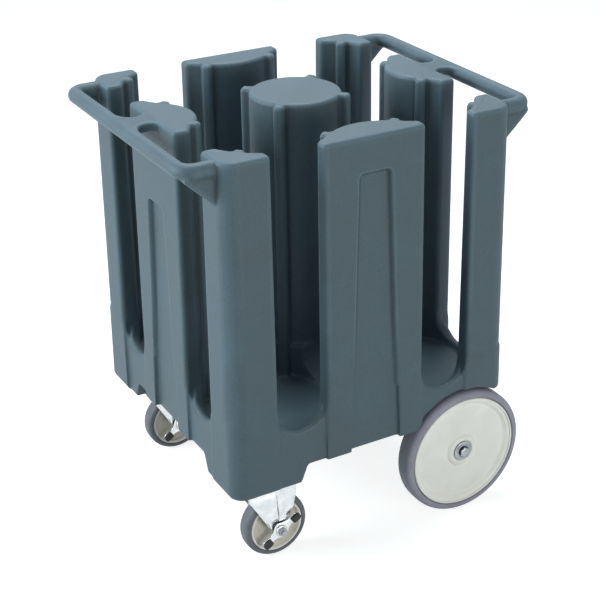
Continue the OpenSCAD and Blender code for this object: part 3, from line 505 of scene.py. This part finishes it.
def centreOutline(p):
    # round post with a rib towards each of the four columns
    middle, r = (0, 0), p["centreRadius"]
    a, b, d = ribEnds(p["column"], 225, p)
    rootA, rootB = meetCircle(a, d, middle, r), meetCircle(b, d, middle, r)
    first, last = (a, rootA), (b, rootB)
    if angleOf(rootA, middle) > angleOf(rootB, middle):
        first, last = last, first
    ribs = []
    for sx, sy in ((1, 1), (-1, 1), (-1, -1), (1, -1)):
        s = np.array([sx, sy])
        pair = [(first[1] * s, first[0] * s), (last[1] * s, last[0] * s)]
        ribs.append(pair if sx * sy > 0 else pair[::-1])
    runs, corners = [], []
    for k in range(4):
        (rootIn, tipIn), (rootOut, tipOut) = ribs[k]
        start, end = angleOf(rootOut, middle), angleOf(ribs[(k + 1) % 4][0][0], middle)
        end += 360 if end < start else 0
        runs += [line(rootIn, tipIn), line(tipIn, tipOut), line(tipOut, rootOut), arc(middle, r, start, end)]
        corners += [
            (*rootIn, p["ribRootReach"]), (*rootOut, p["ribRootReach"]),
            (*tipIn, p["ribTipReach"]), (*tipOut, p["ribTipReach"])]
    return roundedOutline(runs, corners, p["step"])


def grooveDepth(across, height, top, p):
    # tapered groove open downwards: a soft step inside its outline, whose upper corners are round
    floor = p["height"] - p["leanHeight"]
    spread = (p["grooveFoot"] - p["grooveTop"]) * (top - height) / (top - floor)
    side = p["grooveTop"] + spread - np.abs(across)
    below = top - height
    r = p["grooveCorner"]
    both = (side < r) & (below < r)
    inside = np.where(both, r - np.hypot(r - side, r - below), np.minimum(side, below))
    return p["grooveDepth"] * smoothStep(inside, 0, p["grooveStep"])


def postMesh(name, outline, grooveTop=None, along=None):
    # Rings of the outline from the foot to the top, where they draw in by r(1 - cos a) while
    # they rise by r sin a. The outer faces lean out by a straight line down to the panels.
    p = posts
    radius = p["topRadius"]
    levels = np.arange(p["foot"], p["height"] - radius - 2, p["rowStep"])
    if grooveTop:
        low, high = grooveTop - p["fineBelow"], grooveTop + p["fineAbove"]
        near = (levels > low) & (levels < high)
        levels = np.sort(np.concatenate([levels[~near], np.arange(low, high, p["fineStep"])]))
    turn = np.radians(np.linspace(0, 90, 8))
    heights = np.concatenate([levels, p["height"] - radius + radius * np.sin(turn)])
    insets = np.concatenate([np.zeros(len(levels)), radius * (1 - np.cos(turn))])
    rings = np.stack([insetRing(outline, d) for d in insets])
    x, y = rings[..., 0], rings[..., 1]
    z = np.repeat(heights[:, None], outline.shape[0], 1)
    down = (p["height"] - z) / p["leanHeight"]
    gx, gy = share(np.abs(x), *p["sideBand"]), share(np.abs(y), *p["endBand"])
    dx, dy = p["sideLean"] * down * gx, p["endLean"] * down * gy
    if along == "x":
        dx = dx - grooveDepth(y, z, grooveTop, p) * share(np.abs(x) - p["halfWidth"], *p["grooveBand"])
    if along == "y":
        dy = dy - grooveDepth(x, z, grooveTop, p) * share(np.abs(y) - p["halfLength"], *p["grooveBand"])
    dx, dy = dx + p["proud"] * (gx > 0.99), dy + p["proud"] * (gy > 0.99)
    points = np.stack([x + np.sign(x) * dx, y + np.sign(y) * dy, z], -1)
    addPiece("moulded_" + name, closedTube(points), bodyPlastic, "cart", [name])


def mirrored(outline, sx, sy):
    turned = outline * np.array([sx, sy])
    return turned if sx * sy > 0 else turned[::-1]


def buildPosts():
    p = posts
    corner = cornerOutline(p)
    for name, sx, sy in (("front_left_post", -1, -1), ("front_right_post", 1, -1),
                         ("rear_left_post", -1, 1), ("rear_right_post", 1, 1)):
        postMesh(name, mirrored(corner, sx, sy))
    c = p["column"]
    side = middleOutline(p, p["halfWidth"], c, c[1] - p["slotHalf"])
    end = middleOutline(p, p["halfLength"], (c[1], c[0]), c[0] - p["slotHalf"])[:, ::-1][::-1]
    sideTop, endTop = p["height"] - p["sideGrooveDrop"], p["height"] - p["endGrooveDrop"]
    postMesh("right_middle_post", side, sideTop, "x")
    postMesh("left_middle_post", mirrored(side, -1, 1), sideTop, "x")
    postMesh("rear_middle_post", end, endTop, "y")
    postMesh("front_middle_post", mirrored(end, 1, -1), endTop, "y")
    postMesh("centre_post", centreOutline(p))


buildPosts()
print("posts moulded")


# Base and handles: the frame's solids with every edge softened as the mould leaves it
softening = {
    # step of the even grid, rounds of smoothing and share of the faces that stay
    "baseVoxel": 2.6, "baseRounds": 2, "baseKeep": 0.5, "handleVoxel": 2.5, "handleRounds": 9,
    # the posts are joined to the handles above the first level and to the base below the second
    "plugFoot": 690.0, "plugHead": 352.0, "plugSkin": 0.6, "footDip": 0.9, "dipHead": 348.0,
}
slots = {
    "lip": 281.0, "slope": 0.54, "fallRun": 26.0, "edge": 8.0, "head": 372.0, "steps": 33,
    # of the rings below the face, from inside the well to outside the wall
    "depths": [58.0, 30.0, 22.0, 15.0, 11.0, 9.0, 7.2, 5.6, 4.2, 3.0, 2.0, 1.2, 0.6, 0.2, 0.0, -14.0],
    # places of the outer faces beside the slots and on the panels, and where one runs into the other
    "sideFace": (282.8, 278.4), "endFace": (288.3, 282.0), "panelHalf": (42.0, 46.0),
}


def slotCutter(s, half, faces, along):
    # Rings of a U, each closed across its top, from the well out through the wall. Near the
    # outer face the U widens by r - sqrt(r^2 - (r - d)^2), d being the depth below the face,
    # and inside the wall its bottom falls steadily towards the well.
    depth, r = np.array(s["depths"]), s["edge"]
    grow = r - np.sqrt(np.clip(r * r - np.clip(r - depth, 0, r) ** 2, 0, None))
    turn = np.radians(np.linspace(-90, 90, s["steps"]))
    across = np.concatenate([np.sin(turn), [1, -1]])
    lower = np.concatenate([-np.cos(turn), [0, 0]])
    wide = half + grow[:, None]
    u = across * wide
    face = faces[1] + (faces[0] - faces[1]) * smoothStep(np.abs(u), *s["panelHalf"])
    out = face - depth[:, None]
    bottom = s["lip"] + half - s["slope"] * np.clip(faces[1] - out - r, 0, s["fallRun"])
    z = np.where(np.arange(len(across)) < s["steps"], bottom + lower * wide, s["head"])
    return closedTube(np.stack([out, u + along, z], -1))


def slotCutters():
    s, p = slots, posts
    x, y = p["column"]
    parts = []
    for sx, sy in ((1, 1), (1, -1), (-1, 1), (-1, -1)):
        side, faces = slotCutter(s, p["slotHalf"], s["sideFace"], y)
        parts.append((side * (sx, sy, 1), faces))
        end, faces = slotCutter(s, p["slotHalf"], s["endFace"], x)
        parts.append((end[:, [1, 0, 2]] * (sx, sy, 1), faces))
    points, faces = joined(*parts)
    mesh = bpy.data.meshes.new("slotCutters")
    mesh.from_pydata((points * millimetre).tolist(), [], faces)
    shape = bmesh.new()
    shape.from_mesh(mesh)
    bmesh.ops.recalc_face_normals(shape, faces=shape.faces)
    shape.to_mesh(mesh)
    shape.free()
    return mesh


def evaluated(piece):
    # a new mesh of the piece with its modifiers done
    bpy.context.view_layer.update()
    return bpy.data.meshes.new_from_object(piece.evaluated_get(bpy.context.evaluated_depsgraph_get()))


def carve(shape, cutter):
    # takes the cutter's volume out of the shape
    mesh = bpy.data.meshes.new("uncut")
    shape.to_mesh(mesh)
    block, tool = newObject("uncut", mesh), newObject("slotCutters", cutter)
    slotCut = block.modifiers.new("slots", "BOOLEAN")
    slotCut.operation = "DIFFERENCE"
    slotCut.solver = "EXACT"
    slotCut.object = tool
    done = evaluated(block)
    shape.clear()
    shape.from_mesh(done)
    for o in (block, tool):
        bpy.data.objects.remove(o)
    for m in (mesh, cutter, done):
        bpy.data.meshes.remove(m)


def soften(name, node, voxel, rounds, plugs, cutter=None, keep=1.0):
    # The solid and its plugs are joined on an even grid of `voxel` millimetres, then each
    # vertex moves halfway to its neighbours' mean, `rounds` times, so edges turn round. The
    # last step leaves `keep` of the faces.
    shape = bmesh.new()
    shape.from_mesh(nodes[node].data)
    bmesh.ops.remove_doubles(shape, verts=shape.verts, dist=0.00001)
    if cutter:
        carve(shape, cutter)
    for mesh in plugs:
        shape.from_mesh(mesh)
        bpy.data.meshes.remove(mesh)
    mesh = bpy.data.meshes.new(name)
    shape.to_mesh(mesh)
    shape.free()
    mesh.materials.clear()
    piece = newObject(name, mesh)
    grid = piece.modifiers.new("grid", "REMESH")
    grid.mode = "VOXEL"
    grid.voxel_size = voxel * millimetre
    grid.use_smooth_shade = True
    calm = piece.modifiers.new("calm", "SMOOTH")
    calm.factor = 0.5
    calm.iterations = rounds
    if keep < 1:
        piece.modifiers.new("thin", "DECIMATE").ratio = keep
    done = evaluated(piece)
    piece.modifiers.clear()
    piece.data = done
    bpy.data.meshes.remove(mesh)
    done.name = name
    done.materials.clear()
    done.materials.append(bodyPlastic)
    done.polygons.foreach_set("use_smooth", np.ones(len(done.polygons), bool))
    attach(piece, "cart")
    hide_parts(node)
    print(name, "softened,", len(done.polygons), "faces")


def postPlug(piece, level, keep, skin=0.0):
    # the part of a post above (keep 1) or below (keep -1) a level, closed there and drawn in
    # by `skin` along its normals
    shape = bmesh.new()
    shape.from_mesh(piece.data)
    ends = bmesh.ops.bisect_plane(
        shape, geom=shape.verts[:] + shape.edges[:] + shape.faces[:], plane_co=(0, 0, level * millimetre),
        plane_no=(0, 0, -keep), clear_outer=True)
    bmesh.ops.holes_fill(shape, edges=[e for e in ends["geom_cut"] if isinstance(e, bmesh.types.BMEdge)])
    bmesh.ops.recalc_face_normals(shape, faces=shape.faces)
    shape.normal_update()
    for v in shape.verts:
        v.co -= v.normal * skin * millimetre
    mesh = bpy.data.meshes.new("plug")
    shape.to_mesh(mesh)
    shape.free()
    return mesh


def dipFoot(mesh, s):
    # below the head of the plugs a post sinks slowly under the base's skin
    count = len(mesh.vertices)
    co, normal = np.empty(count * 3), np.empty(count * 3)
    mesh.vertices.foreach_get("co", co)
    mesh.vertices.foreach_get("normal", normal)
    co, normal = co.reshape(-1, 3), normal.reshape(-1, 3)
    normal[:, 2] = 0
    dip = s["footDip"] * (1 - smoothStep(co[:, 2] / millimetre, posts["foot"], s["dipHead"]))
    mesh.vertices.foreach_set("co", (co - normal * dip[:, None] * millimetre).ravel())
    mesh.update()


def buildBase():
    # the posts' feet are joined to it, so that nothing shows where they meet
    s = softening
    standing = [bpy.data.objects["moulded_" + name] for name in nodes if name.endswith("_post")]
    feet = [postPlug(post, s["plugHead"], -1) for post in standing]
    soften("moulded_base", "body_base", s["baseVoxel"], s["baseRounds"], feet, slotCutters(), s["baseKeep"])
    for post in standing:
        dipFoot(post.data, s)


def buildHandles():
    # The tops of the posts are joined to the handle just under their own skin, so that the
    # softening makes the fillets by which the handle flows into the posts
    s = softening
    for end in ("front", "rear"):
        tops = [bpy.data.objects["moulded_%s_%s_post" % (end, k)] for k in ("left", "middle", "right")]
        plugs = [postPlug(top, s["plugFoot"], 1, s["plugSkin"]) for top in tops]
        soften("moulded_%s_handle" % end, end + "_handle", s["handleVoxel"], s["handleRounds"], plugs)


buildBase()
buildHandles()


# Wheels and casters
def softProfile(points, rounds=2):
    # corner cutting: each side of the closed profile keeps its middle half, `rounds` times
    p = np.asarray(points, float)
    for _ in range(rounds):
        after = np.roll(p, -1, 0)
        p = np.stack([0.75 * p + 0.25 * after, 0.25 * p + 0.75 * after], 1).reshape(-1, 2)
    return p


def bothSides(half):
    # a half profile from bore to rim, closed by its own reflection
    h = np.asarray(half, float)
    return np.vstack([h, h[::-1] * (-1, 1)])


def revolved(profile, centre, steps):
    # The closed profile of (distance along X, radius) goes round the wheel's axis:
    # (cx + a, cy + r cos t, cz + r sin t)
    a, r = np.asarray(profile, float).T
    if np.sum(a * np.roll(r, -1) - r * np.roll(a, -1)) > 0:
        a, r = a[::-1], r[::-1]
    t = np.linspace(0, 2 * np.pi, steps, endpoint=False)
    points = np.stack([
        np.broadcast_to(centre[0] + a[:, None], (len(a), steps)),
        centre[1] + r[:, None] * np.cos(t), centre[2] + r[:, None] * np.sin(t)], -1)
    return points.reshape(-1, 3), gridQuads(len(a) + 1, steps, True) % (len(a) * steps)


def slab(outer, inner):
    # two open grids of the same size, joined all round their border
    rows, columns = outer.shape[:2]
    count = rows * columns
    faces = gridQuads(rows, columns, False)
    turned = faces[:, ::-1] + count
    rim = np.concatenate([
        np.arange(columns - 1), np.arange(rows - 1) * columns + columns - 1,
        (rows - 1) * columns + np.arange(columns - 1, 0, -1), np.arange(rows - 1, 0, -1) * columns])
    after = np.roll(rim, -1)
    border = np.stack([after, rim, rim + count, after + count], -1)
    points = np.concatenate([outer.reshape(-1, 3), inner.reshape(-1, 3)])
    return points, np.concatenate([faces, turned, border])


def hexHead(centre, across, base, height, chamfer):
    # Levels of a hexagon, `across` its corners, which are cut by a cone, and a shallow cup in
    # its end. The radius at angle t is the lesser of apothem / cos(t from the middle of a
    # side) and the cone's.
    t = np.linspace(0, 2 * np.pi, 72, endpoint=False)
    flat = across / 2 * np.cos(np.pi / 6) / np.cos((t + np.pi / 6) % (np.pi / 3) - np.pi / 6)
    out = np.array([0, height - chamfer, height - chamfer * 0.4, height, height, height - 0.5])
    cone = across / 2 * np.array([1.0, 1.0, 0.95, 0.86, 0.5, 0.34])
    r = np.minimum(flat[None], cone[:, None])
    rings = np.stack([
        np.broadcast_to(centre[0] + base + out[:, None], r.shape),
        centre[1] + r * np.cos(t), centre[2] + r * np.sin(t)], -1)
    return closedTube(rings[::-1])


def mirroredPart(part, x):
    # reflected in the plane at x, with the faces turned so that they still point outwards
    points, faces = part
    turned = np.array(points)
    turned[:, 0] = 2 * x - turned[:, 0]
    return turned, [face[::-1] for face in faceLists(faces)]


rearWheel = {
    "axis": (264.0, 199.0, 128.0), "steps": 180,
    # half profiles: distance from the wheel's middle plane, radius
    "disc": [
        (0, 13.7), (14, 13.7), (14, 18.4), (14, 20.2), (16.2, 21.2), (16.4, 25), (15.6, 28.6), (12.6, 31.2),
        (10.6, 33.4), (10.4, 36), (11.4, 39), (12.0, 50), (12.3, 70), (12.0, 88), (11.4, 94.5), (10.6, 97.2),
        (11.4, 99), (15.4, 102.6), (16.6, 105), (17.0, 107.4), (17.2, 108.2), (20.2, 108.8), (20.8, 110.0),
        (20.6, 111.6), (19.4, 112.4), (16.0, 112.8), (0, 113)],
    "tyre": [
        (0, 113.3), (16.4, 113.3), (17.0, 114.2), (20.0, 114.6), (21.0, 115.6), (21.0, 118.0), (20.6, 120.6),
        (19.4, 123.4), (17.2, 125.8), (14.2, 127.3), (10.0, 127.9), (5.0, 128.0), (0, 128.0)],
    # whole profiles
    "washer": [
        (16.3, 6.2), (16.3, 19.4), (16.7, 20), (17.6, 19.8), (18.3, 18.8), (17.9, 17), (17.9, 13.4), (18.3, 12),
        (18.3, 6.2)],
    "shank": [(-7.0, 0.5), (-7.0, 6.0), (18.5, 6.0), (18.5, 0.5)],
    "head": (21.0, 18.3, 6.0, 2.0),   # across the corners, start, height, chamfer
}


def buildRearWheels():
    w = rearWheel
    caps = []
    for side, name in ((1, "right"), (-1, "left")):
        centre = np.array(w["axis"]) * (side, 1, 1)
        body = name + "_rear_wheel"
        disc = revolved(softProfile(bothSides(w["disc"])), centre, w["steps"])
        tyre = revolved(softProfile(bothSides(w["tyre"])), centre, w["steps"])
        addPiece(name + "_wheel_disc", disc, discPlastic, body, [name + "_rear_rim"])
        addPiece(name + "_wheel_tyre", tyre, rearTyreRubber, body, [name + "_rear_tyre"])
        outer = np.array(w["axis"])
        washer, shank = revolved(softProfile(w["washer"]), outer, 96), revolved(w["shank"], outer, 32)
        cap = joined(washer, hexHead(outer, *w["head"]), shank)
        caps.append(cap if side > 0 else mirroredPart(cap, 0.0))
    addPiece("wheel_end_bolts", joined(*caps), hardwareZinc, "cart", ["axle_end_bolts"])


caster = {
    "swivel": (217.0, -217.0), "trail": 35.0, "wheelRadius": 63.5, "steps": 120,
    # half profiles: distance from the wheel's middle plane, radius
    "core": [
        (0, 8.4), (19, 8.4), (19, 12.6), (18.2, 14), (9.6, 17), (8.2, 19.5), (7.8, 24), (8.0, 30), (9.0, 31.4),
        (9.0, 33.2), (8.0, 34.6), (7.9, 40), (8.5, 43.4), (10.6, 46.2), (11.6, 47.4), (11.6, 48.2), (0, 48.2)],
    "lip": [
        (0, 47.2), (11.8, 47.4), (13.8, 47.8), (15.2, 48.8), (15.6, 50.2), (15.2, 51.6), (14.0, 52.3), (0, 52.4)],
    "tyre": [
        (0, 52.7), (13.8, 52.7), (14.8, 53.1), (15.6, 53.4), (16.0, 54.6), (15.8, 57), (14.6, 59.8), (12.2, 62),
        (8.6, 63.2), (4.4, 63.5), (0, 63.5)],
    "forkOut": 24.0, "forkThick": 3.2, "crownTop": 156.0, "bend": 7.0,
    # of the fork's legs: height, Y from the swivel
    "frontEdge": [(51.5, 30.0), (54.0, 27.0), (58.4, 24.1), (142.0, -25.0), (156.0, -27.0)],
    "backEdge": [(51.5, 40.0), (54.0, 43.0), (58.4, 45.9), (67.5, 47.0), (101.5, 65.0), (136.0, 72.0), (156.0, 69.0)],
    "legFoot": [51.5, 52.0, 53.0, 54.5, 56.5], "legRows": (59, 46), "boltClear": (15, 30),
    "pressed": 2.6, "ridgeTop": 24.0, "ridgeFoot": 33.0, "ridgeFrom": 60, "ridgeSoft": 2.5,
    "foldIn": 5.0, "foldWidth": 9.0, "backFold": 1.6, "backFoldWidth": 5.0, "foldFade": 14,
    # bearing cups above and below the crown: height from its top, radius
    "race": [
        (0, 12.6), (4, 12.6), (4, 23.0), (2.2, 24.5), (1.2, 27.0), (2.2, 29.5), (4.0, 31.0), (4.0, 34.5),
        (3.0, 36.5), (0, 37.8), (-3.2, 38.0), (-4, 36.5), (-4, 12.6)],
    "rockerAngle": 34.0, "rockerIn": 30.0, "rockerThick": 3.2, "rockerHalf": 44.0,
    "rockerFace": 0.999,   # share of the thickness that is used
    "armHalf": 7.4, "waistHalf": 5.6, "waistBand": (20, 33), "eyeHalf": 13.5, "eyeSpread": 13.0,
    "boss": [(24.4, 5.4), (24.4, 11.0), (29.0, 11.0), (33.5, 10.6), (35.0, 9.4), (35.0, 5.4)],
    "padCentre": 35.0, "padHalf": (3.6, 9.4, 7.2), "padStart": 32.8, "padRibs": 5,
}


def forkSheet(c):
    # One pressed sheet bent over the wheel. Across it: up a leg, round a bend and over the
    # crown, with its mirror image after it. Along it: from the front edge to the back edge.
    # Each fold is a quarter circle, 1 - sqrt(1 - t^2) of its depth.
    out, top, bend = c["forkOut"], c["crownTop"], c["bend"]
    start, count = c["legRows"]
    legZ = np.concatenate([c["legFoot"], np.linspace(start, top - bend, count)])
    turn = np.radians(np.linspace(0, 90, 9)[1:])
    half = np.concatenate([
        np.stack([np.full(len(legZ), out), legZ], -1),
        np.stack([out - bend + bend * np.cos(turn), top - bend + bend * np.sin(turn)], -1),
        np.stack([np.linspace(out - bend, 0, 7)[1:], np.full(6, top)], -1)])
    across, height = half.T
    front = np.interp(height, *np.array(c["frontEdge"]).T)
    back = np.interp(height, *np.array(c["backEdge"]).T)
    v = np.linspace(0, 1, 61)
    y = front[:, None] + (back - front)[:, None] * v
    x = np.broadcast_to(across[:, None], y.shape).copy()
    z = np.broadcast_to(height[:, None], y.shape).copy()
    fromBolt = np.hypot(y - c["trail"], z - c["wheelRadius"])
    ridge = c["ridgeFoot"] + (c["ridgeTop"] - c["ridgeFoot"]) * (z - c["ridgeFrom"]) / (top - c["ridgeFrom"])
    leg = smoothStep(top - z, bend, bend + c["foldFade"]) * smoothStep(fromBolt, *c["boltClear"])
    x += c["pressed"] * leg * (1 - smoothStep(y, ridge, ridge + c["ridgeSoft"]))
    t = np.clip(1 - (y - front[:, None]) / c["foldWidth"], 0, 1)
    x -= c["foldIn"] * leg * (1 - np.sqrt(1 - t * t))
    t = np.clip(1 - (back[:, None] - y) / c["backFoldWidth"], 0, 1)
    x += c["backFold"] * leg * (1 - np.sqrt(1 - t * t))
    grid = np.stack([x, y, z], -1)
    whole = np.concatenate([grid, grid[-2::-1] * (-1, 1, 1)])
    normal = np.cross(np.gradient(whole, axis=0), np.gradient(whole, axis=1))
    normal /= np.linalg.norm(normal, axis=2)[..., None]
    return whole, whole - normal * c["forkThick"]


def forkPart(c, centre):
    place = np.array([centre[0], centre[1], 0.0])
    points, faces = slab(*forkSheet(c))
    cup, cupFaces = revolved(softProfile(c["race"], 1), (0.0, 0.0, 0.0), 96)
    cup = np.stack([cup[:, 1], cup[:, 2], cup[:, 0] + c["crownTop"]], -1)
    return joined((points + place, faces[:, ::-1]), (cup + place, cupFaces))


def placed(part, degrees, hub):
    # turned about X, then moved to the wheel bolt
    points, faces = part
    k = np.radians(degrees)
    x, y, z = np.asarray(points).T
    turned = [x + hub[0], y * np.cos(k) - z * np.sin(k) + hub[1], y * np.sin(k) + z * np.cos(k) + hub[2]]
    return np.stack(turned, -1), faces


def signedPower(value, power):
    # |v|^power with v's sign: of a sine or cosine, it widens a circle into a rounded square
    return np.sign(value) * np.abs(value) ** power


def rockerPart(c, hub):
    # Closed ring of the cross-section at each place s along the arm: a flat ellipse-like
    # |x/h|^4 + |w/b|^(8/3) = 1 whose half width b swells at the eye, waists and rounds off
    s = -np.cos(np.linspace(0, np.pi, 121)) * c["rockerHalf"]
    eye = c["eyeHalf"] * np.exp(-(s / c["eyeSpread"]) ** 2)
    arm = c["waistHalf"] + (c["armHalf"] - c["waistHalf"]) * smoothStep(np.abs(s), *c["waistBand"])
    beyond = np.clip(np.abs(s) - (c["rockerHalf"] - c["armHalf"]), 0, None) / c["armHalf"]
    end = np.sqrt(np.clip(1 - beyond ** 2, 0.0004, 1))
    half = arm * end + eye * (1 - 0.4 * np.clip(arm / c["eyeHalf"], 0, 1))
    t = np.linspace(0, 2 * np.pi, 48, endpoint=False)
    x = signedPower(np.cos(t), 0.5) * c["rockerThick"] / 2
    x = c["rockerIn"] + c["rockerThick"] / 2 + x * c["rockerFace"]
    z = half[:, None] * signedPower(np.sin(t), 0.75)
    arms = closedTube(np.stack([np.broadcast_to(x, z.shape), np.broadcast_to(s[:, None], z.shape), z], -1))
    boss = revolved(softProfile(c["boss"], 1), (0.0, 0.0, 0.0), 72)
    return placed(joined(arms, boss), c["rockerAngle"], hub)


def padPart(c, hub):
    # Two rounded blocks: along each, s = b sin(u)^0.6, and the section there is
    # |x/a|^(10/3) + |z/d|^(10/3) = 1 times r = cos(u)^0.45, with shallow ribs across its face
    a, b, d = c["padHalf"]
    u = np.linspace(-np.pi / 2, np.pi / 2, 61)
    t = np.linspace(0, 2 * np.pi, 40, endpoint=False)
    s = signedPower(np.sin(u), 0.6) * b
    r = np.maximum(np.abs(np.cos(u)) ** 0.45, 0.01)
    ribs = 1 - 0.1 * (0.5 + 0.5 * np.cos(2 * np.pi * c["padRibs"] * s / (2 * b)))
    x = signedPower(np.cos(t), 0.6) * a
    z = signedPower(np.sin(t), 0.6) * d
    x, z = c["padStart"] + a + (r * ribs)[:, None] * x, r[:, None] * z
    parts = []
    for end in (-1, 1):
        y = np.broadcast_to(end * c["padCentre"] + s[:, None], x.shape)
        parts.append(closedTube(np.stack([x, y, z], -1)))
    return placed(joined(*parts), c["rockerAngle"], hub)


def buildCasters():
    c = caster
    for side, name in ((1, "right"), (-1, "left")):
        swivel = np.array([side * c["swivel"][0], c["swivel"][1]])
        hub = np.array([swivel[0], swivel[1] + c["trail"], c["wheelRadius"]])
        wheel, brake = name + "_caster_wheel", name + "_brake"
        core, lip, tyre = (
            revolved(softProfile(bothSides(c[k])), hub, c["steps"]) for k in ("core", "lip", "tyre"))
        addPiece(name + "_caster_disc", core, corePlastic, wheel, [name + "_caster_core"])
        addPiece(name + "_caster_lip", lip, discPlastic, wheel, ())
        addPiece(name + "_caster_tread", tyre, casterTyreRubber, wheel, [name + "_caster_tyre"])
        addPiece(name + "_pressed_fork", forkPart(c, swivel), pressingZinc, name + "_caster_swivel",
                 [name + "_caster_fork"])
        addPiece(name + "_rocker_arms", rockerPart(c, hub), pressingZinc, brake,
                 [name + "_brake_rocker"])
        addPiece(name + "_ribbed_pads", padPart(c, hub), padRubber, brake, [name + "_brake_pads"])


buildRearWheels()
print("rear wheels turned")
buildCasters()
print("casters built")


# Floor and light
light = {
    "fill": 0.22, "fillTint": (0.74, 1.0, 1.02), "floorGlow": 0.8, "floorColour": "#c0c0be", "floorHalf": 14.0,
}
# places and sizes in metres, power in watts
softboxes = {
    "keySoftbox": {
        "place": (-0.9, -3.0, 1.7), "aim": (0, 0, 0.45), "size": (2.0, 1.8),
        "power": 102, "tint": (0.88, 0.96, 1.0)},
    "topSoftbox": {
        "place": (-0.9, 0.5, 3.1), "aim": (0, 0, 0.5), "size": (1.5, 1.5),
        "power": 68, "tint": (0.86, 0.95, 1.0)},
    "sideSoftbox": {
        "place": (3.2, 0.5, 0.9), "aim": (0.2, 0.1, 0.3), "size": (1.4, 1.4),
        "power": 37, "tint": (1.0, 0.985, 0.97)},
}


def seenDirectly(tree):
    # 1 for the camera's rays and for those that a shiny or clear surface sends on
    path = addNode(tree, "ShaderNodeLightPath")
    seen = addNode(tree, "ShaderNodeMath", {"operation": "MAXIMUM"},
                   {0: path.outputs["Is Camera Ray"], 1: path.outputs["Is Glossy Ray"]})
    seen = addNode(tree, "ShaderNodeMath", {"operation": "MAXIMUM"},
                   {0: seen.outputs[0], 1: path.outputs["Is Transmission Ray"]})
    return seen.outputs[0]


def studioFloor():
    size = light["floorHalf"]
    mesh = bpy.data.meshes.new("studioFloor")
    mesh.from_pydata([(-size, -size, 0), (size, -size, 0), (size, size, 0), (-size, size, 0)], [], [(0, 1, 2, 3)])
    floor = newObject("studioFloor", mesh)
    material, tree = newMaterial("paleStudioFloor")
    glow = addNode(tree, "ShaderNodeMath", {"operation": "MULTIPLY", 1: light["floorGlow"]}, {0: seenDirectly(tree)})
    bright = addNode(tree, "ShaderNodeEmission", links={"Strength": glow.outputs[0]})
    matt = addNode(tree, "ShaderNodeBsdfDiffuse", {"Color": linear(light["floorColour"])})
    both = addNode(tree, "ShaderNodeAddShader", links={0: bright.outputs[0], 1: matt.outputs[0]})
    addNode(tree, "ShaderNodeOutputMaterial", links={"Surface": both.outputs[0]})
    mesh.materials.append(material)


def studioWorld():
    world = bpy.data.worlds.new("studioWorld")
    world.use_nodes = True
    tree = world.node_tree
    tree.nodes.clear()
    seen = seenDirectly(tree)
    fill = addNode(tree, "ShaderNodeBackground", {"Color": (*light["fillTint"], 1), "Strength": light["fill"]})
    white = addNode(tree, "ShaderNodeBackground", {"Color": (1, 1, 1, 1)})
    both = addNode(tree, "ShaderNodeMixShader", links={0: seen, 1: fill.outputs[0], 2: white.outputs[0]})
    addNode(tree, "ShaderNodeOutputWorld", links={"Surface": both.outputs[0]})
    bpy.context.scene.world = world


def addSoftbox(name, box):
    lamp = bpy.data.lights.new(name, "AREA")
    lamp.shape = "RECTANGLE"
    lamp.size, lamp.size_y = box["size"]
    lamp.energy = box["power"]
    lamp.color = box["tint"]
    holder = newObject(name, lamp)
    back = np.array(box["place"], float) - np.array(box["aim"], float)
    back /= np.linalg.norm(back)
    side = np.cross([0, 0, 1.0], back)
    side /= np.linalg.norm(side)
    matrix = np.eye(4)
    matrix[:3, 0], matrix[:3, 1], matrix[:3, 2] = side, np.cross(back, side), back
    matrix[:3, 3] = box["place"]
    holder.matrix_world = Matrix(matrix.tolist())


studioFloor()
studioWorld()
for name, box in softboxes.items():
    addSoftbox(name, box)
print("floor and lamps set")
